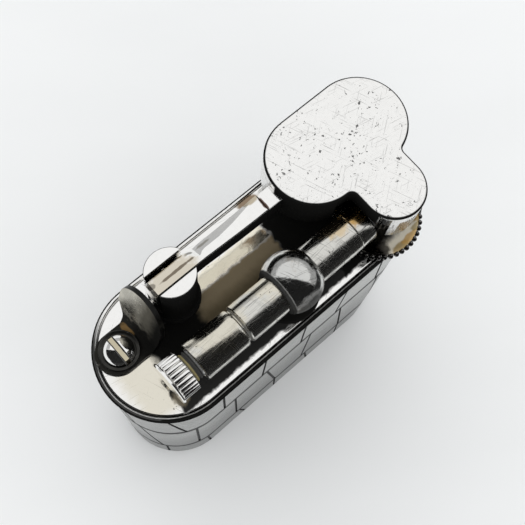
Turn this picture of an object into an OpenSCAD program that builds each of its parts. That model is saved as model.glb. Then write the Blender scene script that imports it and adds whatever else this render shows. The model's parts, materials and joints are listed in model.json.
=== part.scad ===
// Lift-arm petrol pocket lighter: an engraved oblong tank with its works on the top plate.
// X runs along the tank, from the spring end to the snuffer cap; Y runs across it, and the
// flint tube lies on the -Y side. Z is up, from the middle of the tank's underside.

/* [Tank] */
// Length of the tank over its round ends
case_len = 38.5; // [36:0.5:44]
// Width of the tank
case_wid = 14; // [13.5:0.25:16]
// Height of the tank's top plate above the underside
case_h = 34; // [28:0.5:44]
// Thickness of the tank's wall
wall_t = 0.9; // [0.6:0.1:1.2]
// Rounding of the tank's bottom edge
foot_round = 0.4; // [0.2:0.05:0.6]
// Thickness of the base plate
base_t = 0.8; // [0.6:0.1:1.2]

/* [Brickwork] */
// Height of the top course of bricks
course_top = 12; // [9:0.5:14]
// Height of the middle course of bricks
course_mid = 14.7; // [10:0.1:16]
// Bricks in one course round the tank
brick_count = 17; // [12:1:22]
// Width of the cut lines
line_w = 0.3; // [0.2:0.05:0.5]
// Depth of the cut lines
line_d = 0.18; // [0.1:0.02:0.3]
// Mean slant of the hand-cut upright joints, in degrees
joint_slant = 5; // [0:0.5:7]

/* [Top plate] */
// Thickness of the top plate at its edge
plate_t = 0.9; // [0.7:0.1:1.4]
// Radius of the rolled bead round the top
bead_r = 0.3; // [0.25:0.05:0.4]
// How far the bead stands out past the wall
bead_proud = 0.25; // [0.1:0.05:0.4]
// Rounding of the top plate's edge
plate_round = 0.5; // [0.3:0.05:0.6]
// Depth of the plate's spigot inside the wall
spigot_h = 1; // [0.6:0.1:1.6]
// Radius of the screw bosses under the top plate
boss_r = 1.7; // [1.4:0.1:2.2]
// Height of those bosses
boss_h = 1.5; // [1:0.1:2]

/* [Hinge post] */
// Distance from the heel spring's screw to the post's centre
post_gap = 7.35; // [7.3:0.05:8]
// Centre line of the post, the arm and the snuffer's two big lobes
works_y = 3.4; // [3:0.1:3.8]
// Radius of the post
post_r = 2.4; // [2.2:0.05:2.5]
// Height of the post above the plate
post_h = 8.4; // [7.8:0.1:9]
// Radius of the post's foot
post_foot_r = 2.7; // [2.6:0.05:3]
// Height of the post's foot
post_foot_h = 0.7; // [0.4:0.1:1.2]
// Depth of the two turned rings below the post's top
post_ring_deep = 0.15; // [0.08:0.01:0.2]
// Spacing of those rings and of the top edge
post_ring_gap = 0.5; // [0.4:0.05:0.7]
// Bevel of the post's top edge
post_bevel = 0.2; // [0.1:0.02:0.3]
// Width of the slot that takes the arm
slot_w = 2.25; // [2.15:0.05:2.4]
// Height of the slot's floor above the plate
slot_floor = 2.3; // [1.6:0.1:2.5]
// Radius of the hinge pin
pin_r = 0.5; // [0.4:0.05:0.7]
// Height of the hinge pin above the plate
pin_z = 5.3; // [5.1:0.1:5.6]

/* [Arm] */
// Width of the arm in the post
arm_w = 1.75; // [1.5:0.05:1.85]
// Width of the arm where it meets the cap
arm_end_w = 1.9; // [1.9:0.05:2.4]
// Height of the arm's top above the plate
arm_top = 7.2; // [7:0.1:7.5]
// Depth of the arm from top to underside
arm_deep = 2.5; // [2:0.1:2.8]
// Radius of the hub round the pin
hub_r = 1.7; // [1.4:0.05:1.9]
// Bevel along the arm's far edge
arm_bevel = 0.5; // [0.3:0.02:0.6]
// Gap between the post and the start of that bevel
bevel_gap = 1.2; // [1:0.1:2]
// Gap between the post and the place where the arm starts to widen
flare_gap = 1; // [0.8:0.1:2]
// Reach of the heel behind the pin
heel_len = 2.3; // [2:0.05:2.5]

/* [Snuffer cap] */
// Radius of the two big lobes
lobe_r = 4.72; // [4.4:0.02:5]
// Distance from the wheels' axle back to the wick and the first big lobe
wick_back = 3.4; // [3:0.1:4]
// Spacing of the two big lobes
lobe_pitch = 5.9; // [5.2:0.1:6.2]
// Radius of the small lobe, over the spark wheel
lobe_c_r = 3.22; // [3.15:0.01:3.3]
// Distance of the small lobe's centre past the wheels' axle
lobe_c_lead = 0.35; // [0.2:0.05:0.4]
// Height of the cap's top above the plate
cap_top = 8.2; // [8:0.1:8.6]
// Height of the cap's skirt
skirt_h = 4.5; // [4.3:0.1:4.8]
// Thickness of the skirt
skirt_t = 0.4; // [0.3:0.05:0.5]
// Thickness of the cap's roof
roof_t = 0.5; // [0.4:0.05:0.6]
// Radius of the soft corners between the lobes
lobe_fillet = 0.6; // [0.4:0.1:1]
// Thickness of the seal over the wick
seal_t = 0.6; // [0.4:0.05:0.7]
// Radius of the seal
seal_r = 2.4; // [2:0.1:3]

/* [Flint tube] */
// Distance of the flint tube's axis from the middle plane
tube_y = 3.5; // [3.4:0.1:3.8]
// Height of the flint tube's axis above the plate
tube_z = 4; // [3.8:0.1:4.2]
// Outer radius of the flint tube
tube_r = 2.02; // [1.9:0.02:2.1]
// Distance of the tube's left end from the tank's spring end
tube_inset = 7.55; // [7.15:0.05:7.95]
// Gap between the tube's nose and the spark wheel
nose_gap = 0.6; // [0.4:0.05:1]
// Length of the nose beyond the turned line
nose_len = 1.8; // [1:0.05:2.4]
// Distance of the turned groove from the tube's left end
groove_at = 5.2; // [4:0.1:6]
// Depth of that groove
groove_deep = 0.3; // [0.15:0.01:0.35]
// Depth of the fine turned line that marks off the nose
nose_line_deep = 0.1; // [0.06:0.01:0.2]
// Radius of the flint's bore
bore_r = 1.3; // [1.2:0.02:1.4]
// Radius of the tapped bore at the left end
neck_bore_r = 1.55; // [1.45:0.01:1.6]
// Length of the tapped bore
neck_bore_len = 3.8; // [3:0.1:4.4]

/* [Ball pillar] */
// Radius of the ball that carries the flint tube
ball_r = 3.09; // [3:0.01:3.2]
// Distance of the ball's centre from the tube's left end
ball_at = 11.73; // [11:0.01:12.4]
// Distance from the ball's centre to its flat
ball_flat = 1.88; // [1.6:0.02:2.2]
// Radius of the pillar's foot ring
foot_ring_r = 3.15; // [3:0.05:3.3]
// Height of the foot ring
foot_ring_h = 0.45; // [0.3:0.05:0.6]
// Radius of the pillar's waist
waist_r = 2.1; // [1.7:0.1:2.5]

/* [Flint screw] */
// Radius of the knurled head
knurl_r = 2.11; // [2.05:0.01:2.2]
// Length of the knurled head
knurl_len = 1.77; // [1.5:0.01:2]
// Ridges round the knurled head
knurl_count = 24; // [18:1:30]
// Radius of the thin flange on the head's outer end
flange_r = 2.25; // [2.2:0.01:2.35]
// Thickness of that flange
flange_t = 0.3; // [0.2:0.02:0.4]
// Gap of bare neck between the head and the tube
neck_gap = 1; // [0.6:0.05:1.2]
// Pitch of the flint screw's thread
flint_pitch = 0.4; // [0.35:0.01:0.41]
// Turns of that thread inside the tube
flint_turns = 7; // [6:0.25:7.25]

/* [Flint] */
// Radius of the flint
flint_r = 1.2; // [1.1:0.02:1.24]
// Length of the flint
flint_len = 4.6; // [3:0.1:5]
// Length of the pusher behind the flint
pusher_len = 1.6; // [1.2:0.1:2]
// Thickness of the flint spring's wire
spring_wire = 0.35; // [0.25:0.05:0.45]
// Coils in the flint spring
spring_coils = 9; // [7:1:10]

/* [Wheels] */
// Distance of the wheels' axle from the tank's cap end
wheel_inset = 7.25; // [7.05:0.05:7.45]
// Radius of the spark wheel over its teeth
spark_r = 2.1; // [1.9:0.05:2.2]
// Teeth of the spark wheel
spark_teeth = 26; // [18:1:32]
// Depth of those teeth
tooth_deep = 0.22; // [0.15:0.01:0.3]
// Height of the spark wheel
spark_h = 2.8; // [2.6:0.1:3]
// Radius of the circle that the beads lie on
bead_ring_r = 4.37; // [4.2:0.01:4.5]
// Beads round the thumb wheel
bead_count = 44; // [36:1:46]
// Thickness of the thumb wheel
thumb_t = 0.7; // [0.6:0.05:0.8]
// Radius of the axle
axle_r = 0.7; // [0.6:0.02:0.8]
// Radius of the axle's head
axle_head_r = 1.3; // [1.1:0.05:1.5]
// Thickness of the axle's head
axle_head_t = 0.6; // [0.4:0.05:0.8]
// Thickness of the washer under the thumb wheel
washer_t = 0.4; // [0.3:0.05:0.5]
// How far the axle reaches below its boss
screw_tail = 0.6; // [0.3:0.1:1]

/* [Heel spring] */
// Distance of the spring's screw from the tank's spring end
spring_inset = 3.25; // [3.05:0.05:3.35]
// Centre line of the spring
spring_y = 2.5; // [2.3:0.1:2.8]
// Width of the spring's strap
strap_w = 4.2; // [4:0.1:4.4]
// Distance from the spring's screw to the centre of the strap's round end
strap_lead = 0.3; // [0.2:0.05:0.4]
// Width of the spring's tongue
tongue_w = 5.8; // [5:0.1:6]
// Distance of the tongue's middle from the strap's
tongue_shift = 0.6; // [0.3:0.1:0.8]
// Height above the plate where the tongue reaches its full width
tongue_flare = 2.8; // [2.4:0.1:3.2]
// Thickness of the spring leaf
leaf_t = 0.5; // [0.4:0.02:0.55]
// Inner radius of the spring's bend
bend_r = 0.9; // [0.7:0.05:1]
// Lean of the spring's tongue away from upright, in degrees
tongue_lean = 15; // [13:0.5:16]
// Height of the tongue's tip above the plate
tongue_top = 7; // [6.6:0.1:7.2]
// Distance from the strap's bend line to the post's centre
bend_gap = 5.7; // [5.65:0.05:5.9]
// Radius of the spring screw's domed head
dome_r = 1.58; // [1.45:0.01:1.65]
// Height of the dome
dome_h = 1.1; // [0.8:0.05:1.3]
// Radius of the dished washer under the dome
dish_r = 2; // [1.8:0.05:2.1]
// Thickness of the dished washer
dish_t = 0.35; // [0.25:0.05:0.45]
// Width of the screwdriver slots
driver_w = 0.6; // [0.4:0.05:0.7]
// Radius of the spring screw's shank
shank_r = 0.8; // [0.6:0.05:0.9]

/* [Burner] */
// Radius of the windscreen's round ends
screen_r = 2.6; // [2.5:0.05:2.7]
// Distance between the centres of those ends
screen_pitch = 5; // [4.6:0.1:5.4]
// Thickness of the windscreen
screen_t = 0.35; // [0.25:0.05:0.45]
// Height of the windscreen above the plate
screen_h = 6.9; // [6.5:0.1:6.9]
// Width of the windscreen's window to the spark wheel
window_w = 4.2; // [4:0.1:4.6]
// Outer radius of the wick tube
wick_tube_r = 1.6; // [1.4:0.05:1.8]
// Radius of the wick
wick_r = 1; // [0.8:0.05:1.1]
// Height of the wick tube above the plate
wick_tube_h = 5.6; // [5:0.1:5.9]
// Height of the wick's tip above the plate
wick_h = 6.7; // [6.3:0.1:6.8]
// Radius of the wick tube's collar
collar_r = 2.05; // [1.9:0.05:2.1]
// Thickness of the wick tube's collar
collar_t = 0.6; // [0.4:0.1:0.8]
// Height of the wick's lower end above the wadding's underside
wick_clear = 4; // [2:0.5:8]
// Width of the nut under the plate, over its flats
nut_w = 4.4; // [4:0.1:5]
// Thickness of that nut
nut_t = 1.2; // [0.8:0.1:1.5]

/* [Filler] */
// Distance of the filler from the tank's spring end
filler_inset = 11.25; // [10.25:0.25:12.25]
// Outer radius of the filler bush
bush_r = 3.8; // [3.7:0.05:4.2]
// Radius of the recess for the screw's head
recess_r = 3.1; // [3:0.05:3.3]
// Depth of that recess
recess_h = 1.2; // [1.1:0.05:1.4]
// Radius of the filler screw's head
filler_head_r = 2.9; // [2.6:0.05:2.9]
// Thickness of the filler screw's head
filler_head_t = 0.7; // [0.5:0.05:0.75]
// Radius of the filler screw's shank
filler_shank_r = 2; // [1.8:0.05:2.1]
// Thickness of the filler washer
filler_washer_t = 0.3; // [0.2:0.05:0.35]
// Pitch of the filler screw's thread
filler_pitch = 0.5; // [0.4:0.05:0.6]
// Turns of that thread inside the filler bush
filler_turns = 5.6; // [4.4:0.1:6]

/* [Fits] */
// Running clearance of shafts and pins in their bores
run_gap = 0.04; // [0.02:0.01:0.08]
// Gap round fixed pieces that stand in a hole
seat_gap = 0.02; // [0.01:0.01:0.05]
// Free gap between pieces that only pass each other
free_gap = 0.3; // [0.2:0.05:0.4]
// Gap between the teeth and the flint's end
flint_gap = 0.06; // [0.03:0.01:0.1]
// Gap under the thumb wheel and between wheel and washer
thrust_gap = 0.05; // [0.03:0.01:0.1]

/* [Hidden] */
$fn = 96;
small = 0.01;                       // Overrun of a cut past the face that it opens

case_r = case_wid / 2;
case_run = case_len - case_wid;     // Straight length between the round ends
inner_r = case_r - wall_t;
wall_top = case_h - plate_t;        // Top of the tank's wall, where plate and bead sit
bead_track = case_r + bead_proud - bead_r;
plate_r = bead_track - bead_r - seat_gap;

spring_end = -case_len / 2;         // The works are placed from the tank's two ends
spring_screw_x = spring_end + spring_inset;
post_x = spring_screw_x + post_gap;
wheel_x = case_len / 2 - wheel_inset;
lobe_b_x = wheel_x - wick_back;
lobe_a_x = lobe_b_x + lobe_pitch;
lobe_c_x = wheel_x + lobe_c_lead;
skirt_z = cap_top - skirt_h;
wheel_y = -tube_y;
heel_r = norm([heel_len, arm_top - pin_z]);
pin_len = 2 * sqrt(pow(post_r, 2) - pow(pin_r, 2)) - 2 * seat_gap;

tube_x0 = spring_end + tube_inset;
nose_x = wheel_x - spark_r - nose_gap;
ball_x = tube_x0 + ball_at;
neck_x0 = tube_x0 - neck_gap;       // Inner face of the knurled head
neck_x1 = tube_x0 + flint_turns * flint_pitch;
flint_x1 = wheel_x - spark_r - flint_gap;
flint_x0 = flint_x1 - flint_len;
pusher_x0 = flint_x0 - pusher_len;
spring_r = bore_r - spring_wire / 2 - 2 * run_gap;
neck_r = neck_bore_r - run_gap;
spring_x0 = neck_x1 + 2 * run_gap;
spring_x1 = pusher_x0 - 2 * run_gap;

filler_x = spring_end + filler_inset;
bush_h = recess_h + filler_turns * filler_pitch;
head_bottom = recess_h - filler_washer_t - filler_head_t;
wadding_z0 = bush_h + free_gap;
wadding_z1 = wall_top - max(spigot_h + nut_t, boss_h + screw_tail) - free_gap;
wick_z0 = wadding_z0 + wick_clear;

thumb_z = washer_t + thrust_gap;
spark_z = tube_z - spark_h / 2;
head_z = spark_z + spark_h + thrust_gap;
thumb_bead_r = 0.98 * PI * bead_ring_r / bead_count;
rim_thumb_r = bead_ring_r + thumb_bead_r;

strap_x0 = spring_screw_x - strap_lead;   // Centre of the strap's round end
bend_x = post_x - bend_gap;               // Where the strap starts to bend up

// Sweeps a profile (x is the distance out from the middle line, y the height) round an oblong
module track(run) {
  for (s = [0, 180])
    rotate([0, 0, s]) translate([run / 2, 0, 0]) rotate([0, 0, -90])
      rotate_extrude(angle = 180) children();
  rotate([90, 0, 90]) linear_extrude(run, center = true) {
    children();
    mirror([1, 0]) children();
  }
}

// Rod along +X from x0 to x1
module rod_x(x0, x1, r) {
  translate([x0, 0, 0]) rotate([0, 90, 0]) cylinder(h = x1 - x0, r = r);
}

// Stands its children on the top plate
module on_plate() {
  translate([0, 0, case_h]) children();
}

// Round hole through whatever lies at this height
module drill(r) {
  cylinder(h = case_h, r = r, center = true);
}

module at_tube_axis() {
  on_plate() translate([0, -tube_y, tube_z]) children();
}

module at_wheel() {
  on_plate() translate([wheel_x, wheel_y, 0]) children();
}

module at_wick() {
  on_plate() translate([lobe_b_x, works_y, 0]) children();
}

module at_filler() {
  translate([filler_x, 0, 0]) children();
}

// Screwdriver slot along Y, cut down from height z
module driver_slot(z, deep, r) {
  translate([-driver_w / 2, -r - small, z - deep]) cube([driver_w, 2 * (r + small), deep + 1]);
}

// Tank

// Point and heading at distance s along the wall, from the middle of the near side
function half_turn(r) = PI * r;
function on_track(s, r, run) =
  s < run / 2 ? [s, -r, 0] :
  s < run / 2 + half_turn(r) ? let (a = (s - run / 2) / r * 180 / PI)
    [run / 2 + r * sin(a), -r * cos(a), a] :
  s < run * 1.5 + half_turn(r) ? [run / 2 - (s - run / 2 - half_turn(r)), r, 180] :
  s < run * 1.5 + 2 * half_turn(r) ? let (a = (s - run * 1.5 - half_turn(r)) / r * 180 / PI)
    [-run / 2 - r * sin(a), r * cos(a), 180 + a] :
  [s - 2 * run - 2 * half_turn(r), -r, 360];

module upright_joints(z0, z1, phase, seed) {
  pitch = (2 * case_run + 2 * half_turn(case_r)) / brick_count;
  for (i = [0 : brick_count - 1]) {
    p = on_track((i + phase) * pitch, case_r, case_run);
    slant = joint_slant * (sin(seed + 97 * i) - 1);
    translate([p[0], p[1], (z0 + z1) / 2]) rotate([0, 0, p[2]]) rotate([0, slant, 0])
      cube([line_w, 2 * line_d, (z1 - z0) / cos(slant)], center = true);
  }
}

module brick_lines() {
  line_1 = case_h - course_top;
  line_2 = line_1 - course_mid;
  for (z = [line_1, line_2])
    track(case_run) translate([case_r - line_d, z - line_w / 2]) square([2 * line_d, line_w]);
  upright_joints(line_1, wall_top - line_w, 0, 20);
  upright_joints(line_2, line_1, 0.38, 140);
  upright_joints(foot_round, line_2, 0.65, 250);
}

module case_shell() {
  color([0.62, 0.62, 0.61]) difference() {
    track(case_run) difference() {
      translate([inner_r, 0]) square([wall_t, wall_top]);
      translate([case_r - foot_round, 0]) difference() {
        translate([0, -small]) square(foot_round + small);
        translate([0, foot_round]) circle(foot_round);
      }
    }
    brick_lines();
  }
}

module rim_bead() {
  band_half = bead_r * 0.8;
  bead_z = plate_t - bead_r - seat_gap;
  color([0.3, 0.29, 0.28]) translate([0, 0, wall_top]) track(case_run) {
    translate([bead_track, bead_z]) circle(bead_r);
    translate([bead_track - band_half, 0]) square([2 * band_half, bead_z]);
  }
}

module top_plate() {
  color([0.8, 0.78, 0.74]) difference() {
    union() {
      translate([0, 0, wall_top]) track(case_run) difference() {
        square([plate_r, plate_t]);
        translate([plate_r - plate_round, plate_t - plate_round]) difference() {
          square(plate_round + small);
          circle(plate_round);
        }
      }
      translate([0, 0, wall_top - spigot_h]) track(case_run) square([inner_r - seat_gap, spigot_h]);
      for (p = [[spring_screw_x, spring_y], [wheel_x, wheel_y]])
        translate([p[0], p[1], wall_top - boss_h]) cylinder(h = boss_h, r = boss_r);
    }
    on_plate() translate([spring_screw_x, spring_y, 0]) drill(shank_r + seat_gap);
    at_wheel() drill(axle_r + seat_gap);
    at_wick() drill(wick_tube_r + seat_gap);
  }
}

module base_plate() {
  color([0.62, 0.6, 0.57]) difference() {
    track(case_run) square([inner_r - seat_gap, base_t]);
    at_filler() drill(bush_r + seat_gap);
  }
}

module filler_bush() {
  color([0.72, 0.58, 0.32]) at_filler() difference() {
    cylinder(h = bush_h, r = bush_r);
    translate([0, 0, -small]) cylinder(h = recess_h + small, r = recess_r);
    cylinder(h = bush_h + 1, r = filler_shank_r + run_gap);
  }
}

module filler_screw() {
  color([0.72, 0.58, 0.32]) at_filler() difference() {
    union() {
      translate([0, 0, head_bottom]) cylinder(h = filler_head_t, r = filler_head_r);
      translate([0, 0, head_bottom]) cylinder(h = bush_h - head_bottom, r = filler_shank_r);
    }
    translate([0, 0, head_bottom]) mirror([0, 0, 1]) driver_slot(0, filler_head_t / 2, filler_head_r);
  }
}

module filler_washer() {
  color([0.45, 0.3, 0.18]) at_filler() translate([0, 0, recess_h - filler_washer_t]) difference() {
    cylinder(h = filler_washer_t, r = filler_head_r);
    drill(filler_shank_r + seat_gap);
  }
}

module wadding() {
  color([0.88, 0.85, 0.78]) difference() {
    translate([0, 0, wadding_z0])
      track(case_run) square([inner_r - free_gap, wadding_z1 - wadding_z0]);
    translate([lobe_b_x, works_y, wick_z0]) cylinder(h = case_h, r = wick_r + seat_gap);
  }
}

// Burner

module wick() {
  shoulder = case_h + wick_h - wick_r / 2;
  color([0.8, 0.74, 0.62]) translate([lobe_b_x, works_y, 0]) {
    translate([0, 0, wick_z0]) cylinder(h = shoulder - wick_z0, r = wick_r);
    translate([0, 0, shoulder]) cylinder(h = wick_r / 2, r1 = wick_r, r2 = wick_r / 2);
  }
}

module wick_tube() {
  below = plate_t + spigot_h + nut_t;
  color([0.7, 0.6, 0.4]) at_wick() difference() {
    union() {
      translate([0, 0, -below]) cylinder(h = wick_tube_h + below, r = wick_tube_r);
      cylinder(h = collar_t, r = collar_r);
    }
    drill(wick_r + seat_gap);
  }
}

module wick_nut() {
  color([0.7, 0.6, 0.4]) at_wick() translate([0, 0, -plate_t - spigot_h - nut_t]) difference() {
    cylinder(h = nut_t, r = nut_w / sqrt(3), $fn = 6);
    drill(wick_tube_r + seat_gap);
  }
}

// Oblong whose left end is centred over the wick
module oblong(pitch, r) {
  translate([lobe_b_x, works_y]) circle(r);
  translate([lobe_b_x + pitch, works_y]) circle(r);
  translate([lobe_b_x, works_y - r]) square([pitch, 2 * r]);
}

module windscreen() {
  color([0.55, 0.53, 0.5]) on_plate() difference() {
    linear_extrude(screen_h) difference() {
      oblong(screen_pitch, screen_r);
      oblong(screen_pitch, screen_r - screen_t);
    }
    translate([flint_x1 - window_w / 2, works_y - screen_r - screen_t, collar_t])
      cube([window_w, 3 * screen_t, spark_z + spark_h - collar_t]);
    translate([wheel_x, wheel_y, -small])
      cylinder(h = thumb_z + thumb_t + free_gap, r = rim_thumb_r + free_gap);
  }
}

// Hinge

module hinge_post() {
  color([0.6, 0.58, 0.56]) on_plate() translate([post_x, works_y, 0]) difference() {
    rotate_extrude() difference() {
      union() {
        square([post_r, post_h]);
        square([post_foot_r, post_foot_h]);
      }
      for (ring = [2, 3])
        translate([post_r, post_h - ring * post_ring_gap]) circle(post_ring_deep);
      translate([post_r, post_h]) rotate(45) square(post_bevel * sqrt(2), center = true);
    }
    translate([-2 * post_r, -slot_w / 2, slot_floor]) cube([4 * post_r, slot_w, post_h]);
    translate([0, 0, pin_z]) rotate([90, 0, 0])
      cylinder(h = 3 * post_r, r = pin_r + seat_gap, center = true);
  }
}

module hinge_pin() {
  color([0.5, 0.48, 0.45]) on_plate() translate([post_x, works_y, pin_z]) rotate([90, 0, 0])
    cylinder(h = pin_len, r = pin_r, center = true);
}

// Side view of the arm about its pin: bar, hub and heel
module arm_profile() {
  bar_z = arm_top - pin_z;
  intersection() {
    union() {
      circle(hub_r);
      translate([-heel_len, bar_z - arm_deep]) square([lobe_b_x - post_x + heel_len, arm_deep]);
    }
    union() {
      circle(heel_r);
      translate([0, -heel_r]) square([lobe_b_x - post_x, 2 * heel_r]);
    }
  }
}

// Plan of the arm: narrow in the post, wider at the cap
module arm_plan() {
  reach = lobe_b_x - post_x;
  flare = post_r + flare_gap;
  polygon([[-2 * heel_len, -arm_w / 2], [flare, -arm_w / 2], [reach / 2, -arm_end_w / 2],
    [reach, -arm_end_w / 2], [reach, arm_end_w / 2], [reach / 2, arm_end_w / 2],
    [flare, arm_w / 2], [-2 * heel_len, arm_w / 2]]);
}

module snuffer_arm() {
  bevel = arm_bevel * sqrt(2);
  color([0.78, 0.76, 0.72]) on_plate() difference() {
    translate([post_x, works_y, pin_z]) difference() {
      intersection() {
        rotate([90, 0, 0]) linear_extrude(2 * arm_end_w, center = true) arm_profile();
        translate([0, 0, -1.5 * heel_r]) linear_extrude(3 * heel_r) arm_plan();
      }
      rotate([90, 0, 0]) cylinder(h = 4 * arm_w, r = pin_r + run_gap, center = true);
      translate([post_r + bevel_gap, arm_end_w / 2, arm_top - pin_z]) rotate([45, 0, 0])
        translate([0, -bevel / 2, -bevel / 2]) cube([lobe_b_x, bevel, bevel]);
    }
    translate([lobe_b_x, works_y, 0]) cylinder(h = 2 * cap_top, r = lobe_r);
  }
}

// Soft corner between a lobe about c and a straight edge at x = edge; side is -1 left, 1 right.
// Its arc laps both by a hair, so that no face only touches another.
module corner(c, r, edge, f, side) {
  lap = 2 * small;
  fx = edge + side * (f - lap);
  fy = c[1] - sqrt(pow(r + f - lap, 2) - pow(fx - c[0], 2));
  inner_x = lobe_c_x - side;
  difference() {
    polygon([[fx, fy], [inner_x, fy], [inner_x, c[1]], c]);
    translate([fx, fy]) circle(f);
  }
}

// Block with the cap's three lobes, drawn in by a wall thickness
module trefoil(inset, h) {
  r = lobe_r - inset;
  rc = lobe_c_r - inset;
  f = lobe_fillet + inset;
  linear_extrude(h) oblong(lobe_pitch, r);
  translate([lobe_c_x, wheel_y, 0]) cylinder(h = h, r = rc);
  translate([lobe_c_x - rc, wheel_y, 0]) cube([2 * rc, works_y - wheel_y, h]);
  linear_extrude(h) corner([lobe_b_x, works_y], r, lobe_c_x - rc, f, -1);
  linear_extrude(h) corner([lobe_a_x, works_y], r, lobe_c_x + rc, f, 1);
}

module snuffer_cap() {
  notch_top = tube_z + tube_r + free_gap;
  notch_w = 2 * (tube_r + free_gap);
  color([0.86, 0.85, 0.83]) on_plate() difference() {
    translate([0, 0, skirt_z]) trefoil(0, skirt_h);
    translate([0, 0, skirt_z - small]) trefoil(skirt_t, skirt_h - roof_t + small);
    translate([lobe_c_x - lobe_c_r - free_gap, wheel_y - notch_w / 2, skirt_z - 1])
      cube([lobe_c_r / 2 + free_gap, notch_w, notch_top - skirt_z + 1]);
  }
}

module cap_seal() {
  color([0.3, 0.22, 0.15]) at_wick() translate([0, 0, cap_top - roof_t - seal_t])
    cylinder(h = seal_t, r = seal_r);
}

// Heel spring

// Side view of the leaf: flat strap, bend and leaning tongue
module leaf_profile() {
  turn = 90 - tongue_lean;
  outer = bend_r + leaf_t;
  strap_left = strap_x0 - strap_w;
  translate([strap_left, 0]) square([bend_x - strap_left, leaf_t]);
  translate([bend_x, outer]) {
    intersection() {
      difference() {
        circle(outer);
        circle(bend_r);
      }
      polygon([[0, 0], [0, -2 * outer], [2 * outer, -2 * outer], 2 * outer * [sin(turn), -cos(turn)]]);
    }
    rotate(turn) translate([0, -outer]) square([tongue_top, leaf_t]);
  }
}

module heel_spring() {
  tip_r = tongue_w / 2;
  color([0.35, 0.32, 0.28]) on_plate() translate([0, spring_y, 0]) difference() {
    intersection() {
      rotate([90, 0, 0]) linear_extrude(2 * tongue_w, center = true) leaf_profile();
      union() {
        linear_extrude(leaf_t) {
          translate([strap_x0, 0]) circle(strap_w / 2);
          translate([strap_x0, -strap_w / 2]) square([bend_x - strap_x0 + bend_r + leaf_t, strap_w]);
        }
        translate([bend_x, 0, 0]) rotate([90, 0, 90]) linear_extrude(bend_gap) {
          translate([tongue_shift, tongue_top - tip_r]) circle(tip_r);
          translate([tongue_shift - tip_r, tongue_flare])
            square([tongue_w, tongue_top - tip_r - tongue_flare]);
          polygon([[-strap_w / 2, leaf_t], [strap_w / 2, leaf_t],
            [tongue_shift + tip_r, tongue_flare], [tongue_shift - tip_r, tongue_flare]]);
        }
      }
    }
    translate([spring_screw_x, 0, 0]) drill(shank_r + seat_gap);
  }
}

module dished_washer() {
  color([0.2, 0.19, 0.18]) on_plate() translate([spring_screw_x, spring_y, leaf_t]) rotate_extrude()
    polygon([[shank_r + seat_gap, 0], [dish_r - dish_t / 2, 0], [dish_r, dish_t],
      [shank_r + seat_gap, dish_t]]);
}

module spring_screw() {
  dome_sphere = (pow(dome_r, 2) + pow(dome_h, 2)) / (2 * dome_h);
  seat = leaf_t + dish_t;
  color([0.75, 0.74, 0.72]) on_plate() translate([spring_screw_x, spring_y, 0]) difference() {
    union() {
      intersection() {
        translate([0, 0, seat + dome_h - dome_sphere]) sphere(dome_sphere);
        translate([0, 0, seat]) cylinder(h = 2 * dome_h, r = 2 * dome_r);
      }
      translate([0, 0, -plate_t - boss_h]) cylinder(h = seat + plate_t + boss_h + small, r = shank_r);
    }
    driver_slot(seat + dome_h, dome_h * 0.6, dome_r);
  }
}

// Flint tube and what it holds

module ball_pillar() {
  color([0.7, 0.69, 0.67]) on_plate() translate([ball_x, -tube_y, 0]) difference() {
    union() {
      intersection() {
        translate([0, 0, tube_z]) sphere(ball_r);
        translate([-ball_flat, -2 * ball_r, 0]) cube([4 * ball_r, 4 * ball_r, 4 * ball_r]);
      }
      cylinder(h = tube_z - tube_r, r = waist_r);
      rotate_extrude() difference() {
        square([foot_ring_r, foot_ring_h]);
        translate([foot_ring_r, foot_ring_h]) rotate(45) square(foot_ring_h / 2, center = true);
      }
    }
    translate([0, 0, tube_z]) rod_x(-2 * ball_r, 2 * ball_r, tube_r + seat_gap);
  }
}

module flint_tube() {
  groove_x = tube_x0 + groove_at;
  line_x = nose_x - nose_len;
  color([0.78, 0.77, 0.74]) at_tube_axis() difference() {
    rod_x(tube_x0, nose_x, tube_r);
    rod_x(tube_x0 - 1, nose_x + 1, bore_r);
    rod_x(tube_x0 - 1, tube_x0 + neck_bore_len, neck_bore_r);
    rotate([0, 90, 0]) rotate_extrude() {
      translate([tube_r, groove_x]) rotate(45) square(groove_deep * sqrt(2), center = true);
      translate([tube_r, line_x]) rotate(45) square(nose_line_deep * sqrt(2), center = true);
    }
  }
}

module flint_screw() {
  outer_x = neck_x0 - knurl_len;
  ridge_r = PI * knurl_r / knurl_count;
  color([0.8, 0.76, 0.66]) at_tube_axis() {
    rod_x(outer_x, neck_x0, knurl_r - ridge_r / 2);
    for (i = [0 : knurl_count - 1])
      rotate([i * 360 / knurl_count, 0, 0]) translate([0, 0, knurl_r - ridge_r])
        rod_x(outer_x, neck_x0, ridge_r * 0.9);
    rod_x(outer_x - flange_t, outer_x, flange_r);
    rod_x(neck_x0 - small, neck_x1, neck_r);
  }
}

// Point on the flint spring's wire, a share t of the way along it
function coil_point(t) = let (a = 360 * spring_coils * t)
  [spring_x0 + spring_wire + (spring_x1 - spring_x0 - 2 * spring_wire) * t,
    spring_r * cos(a), spring_r * sin(a)];

module flint_spring() {
  steps = 8 * spring_coils;
  sides = 6;
  points = [for (i = [0 : steps]) let (t = i / steps, a = 360 * spring_coils * t, c = coil_point(t))
    for (j = [0 : sides - 1]) let (b = 360 * j / sides)
      c + spring_wire / 2 * [sin(b), cos(b) * cos(a), cos(b) * sin(a)]];
  walls = [for (i = [0 : steps - 1]) for (j = [0 : sides - 1])
    let (k = i * sides + j, n = i * sides + (j + 1) % sides)
      each [[k, n, n + sides], [k, n + sides, k + sides]]];
  ends = [for (j = [1 : sides - 2]) each [[0, j + 1, j],
    [steps * sides, steps * sides + j, steps * sides + j + 1]]];
  color([0.55, 0.53, 0.5]) at_tube_axis() polyhedron(points, concat(walls, ends));
}

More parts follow.
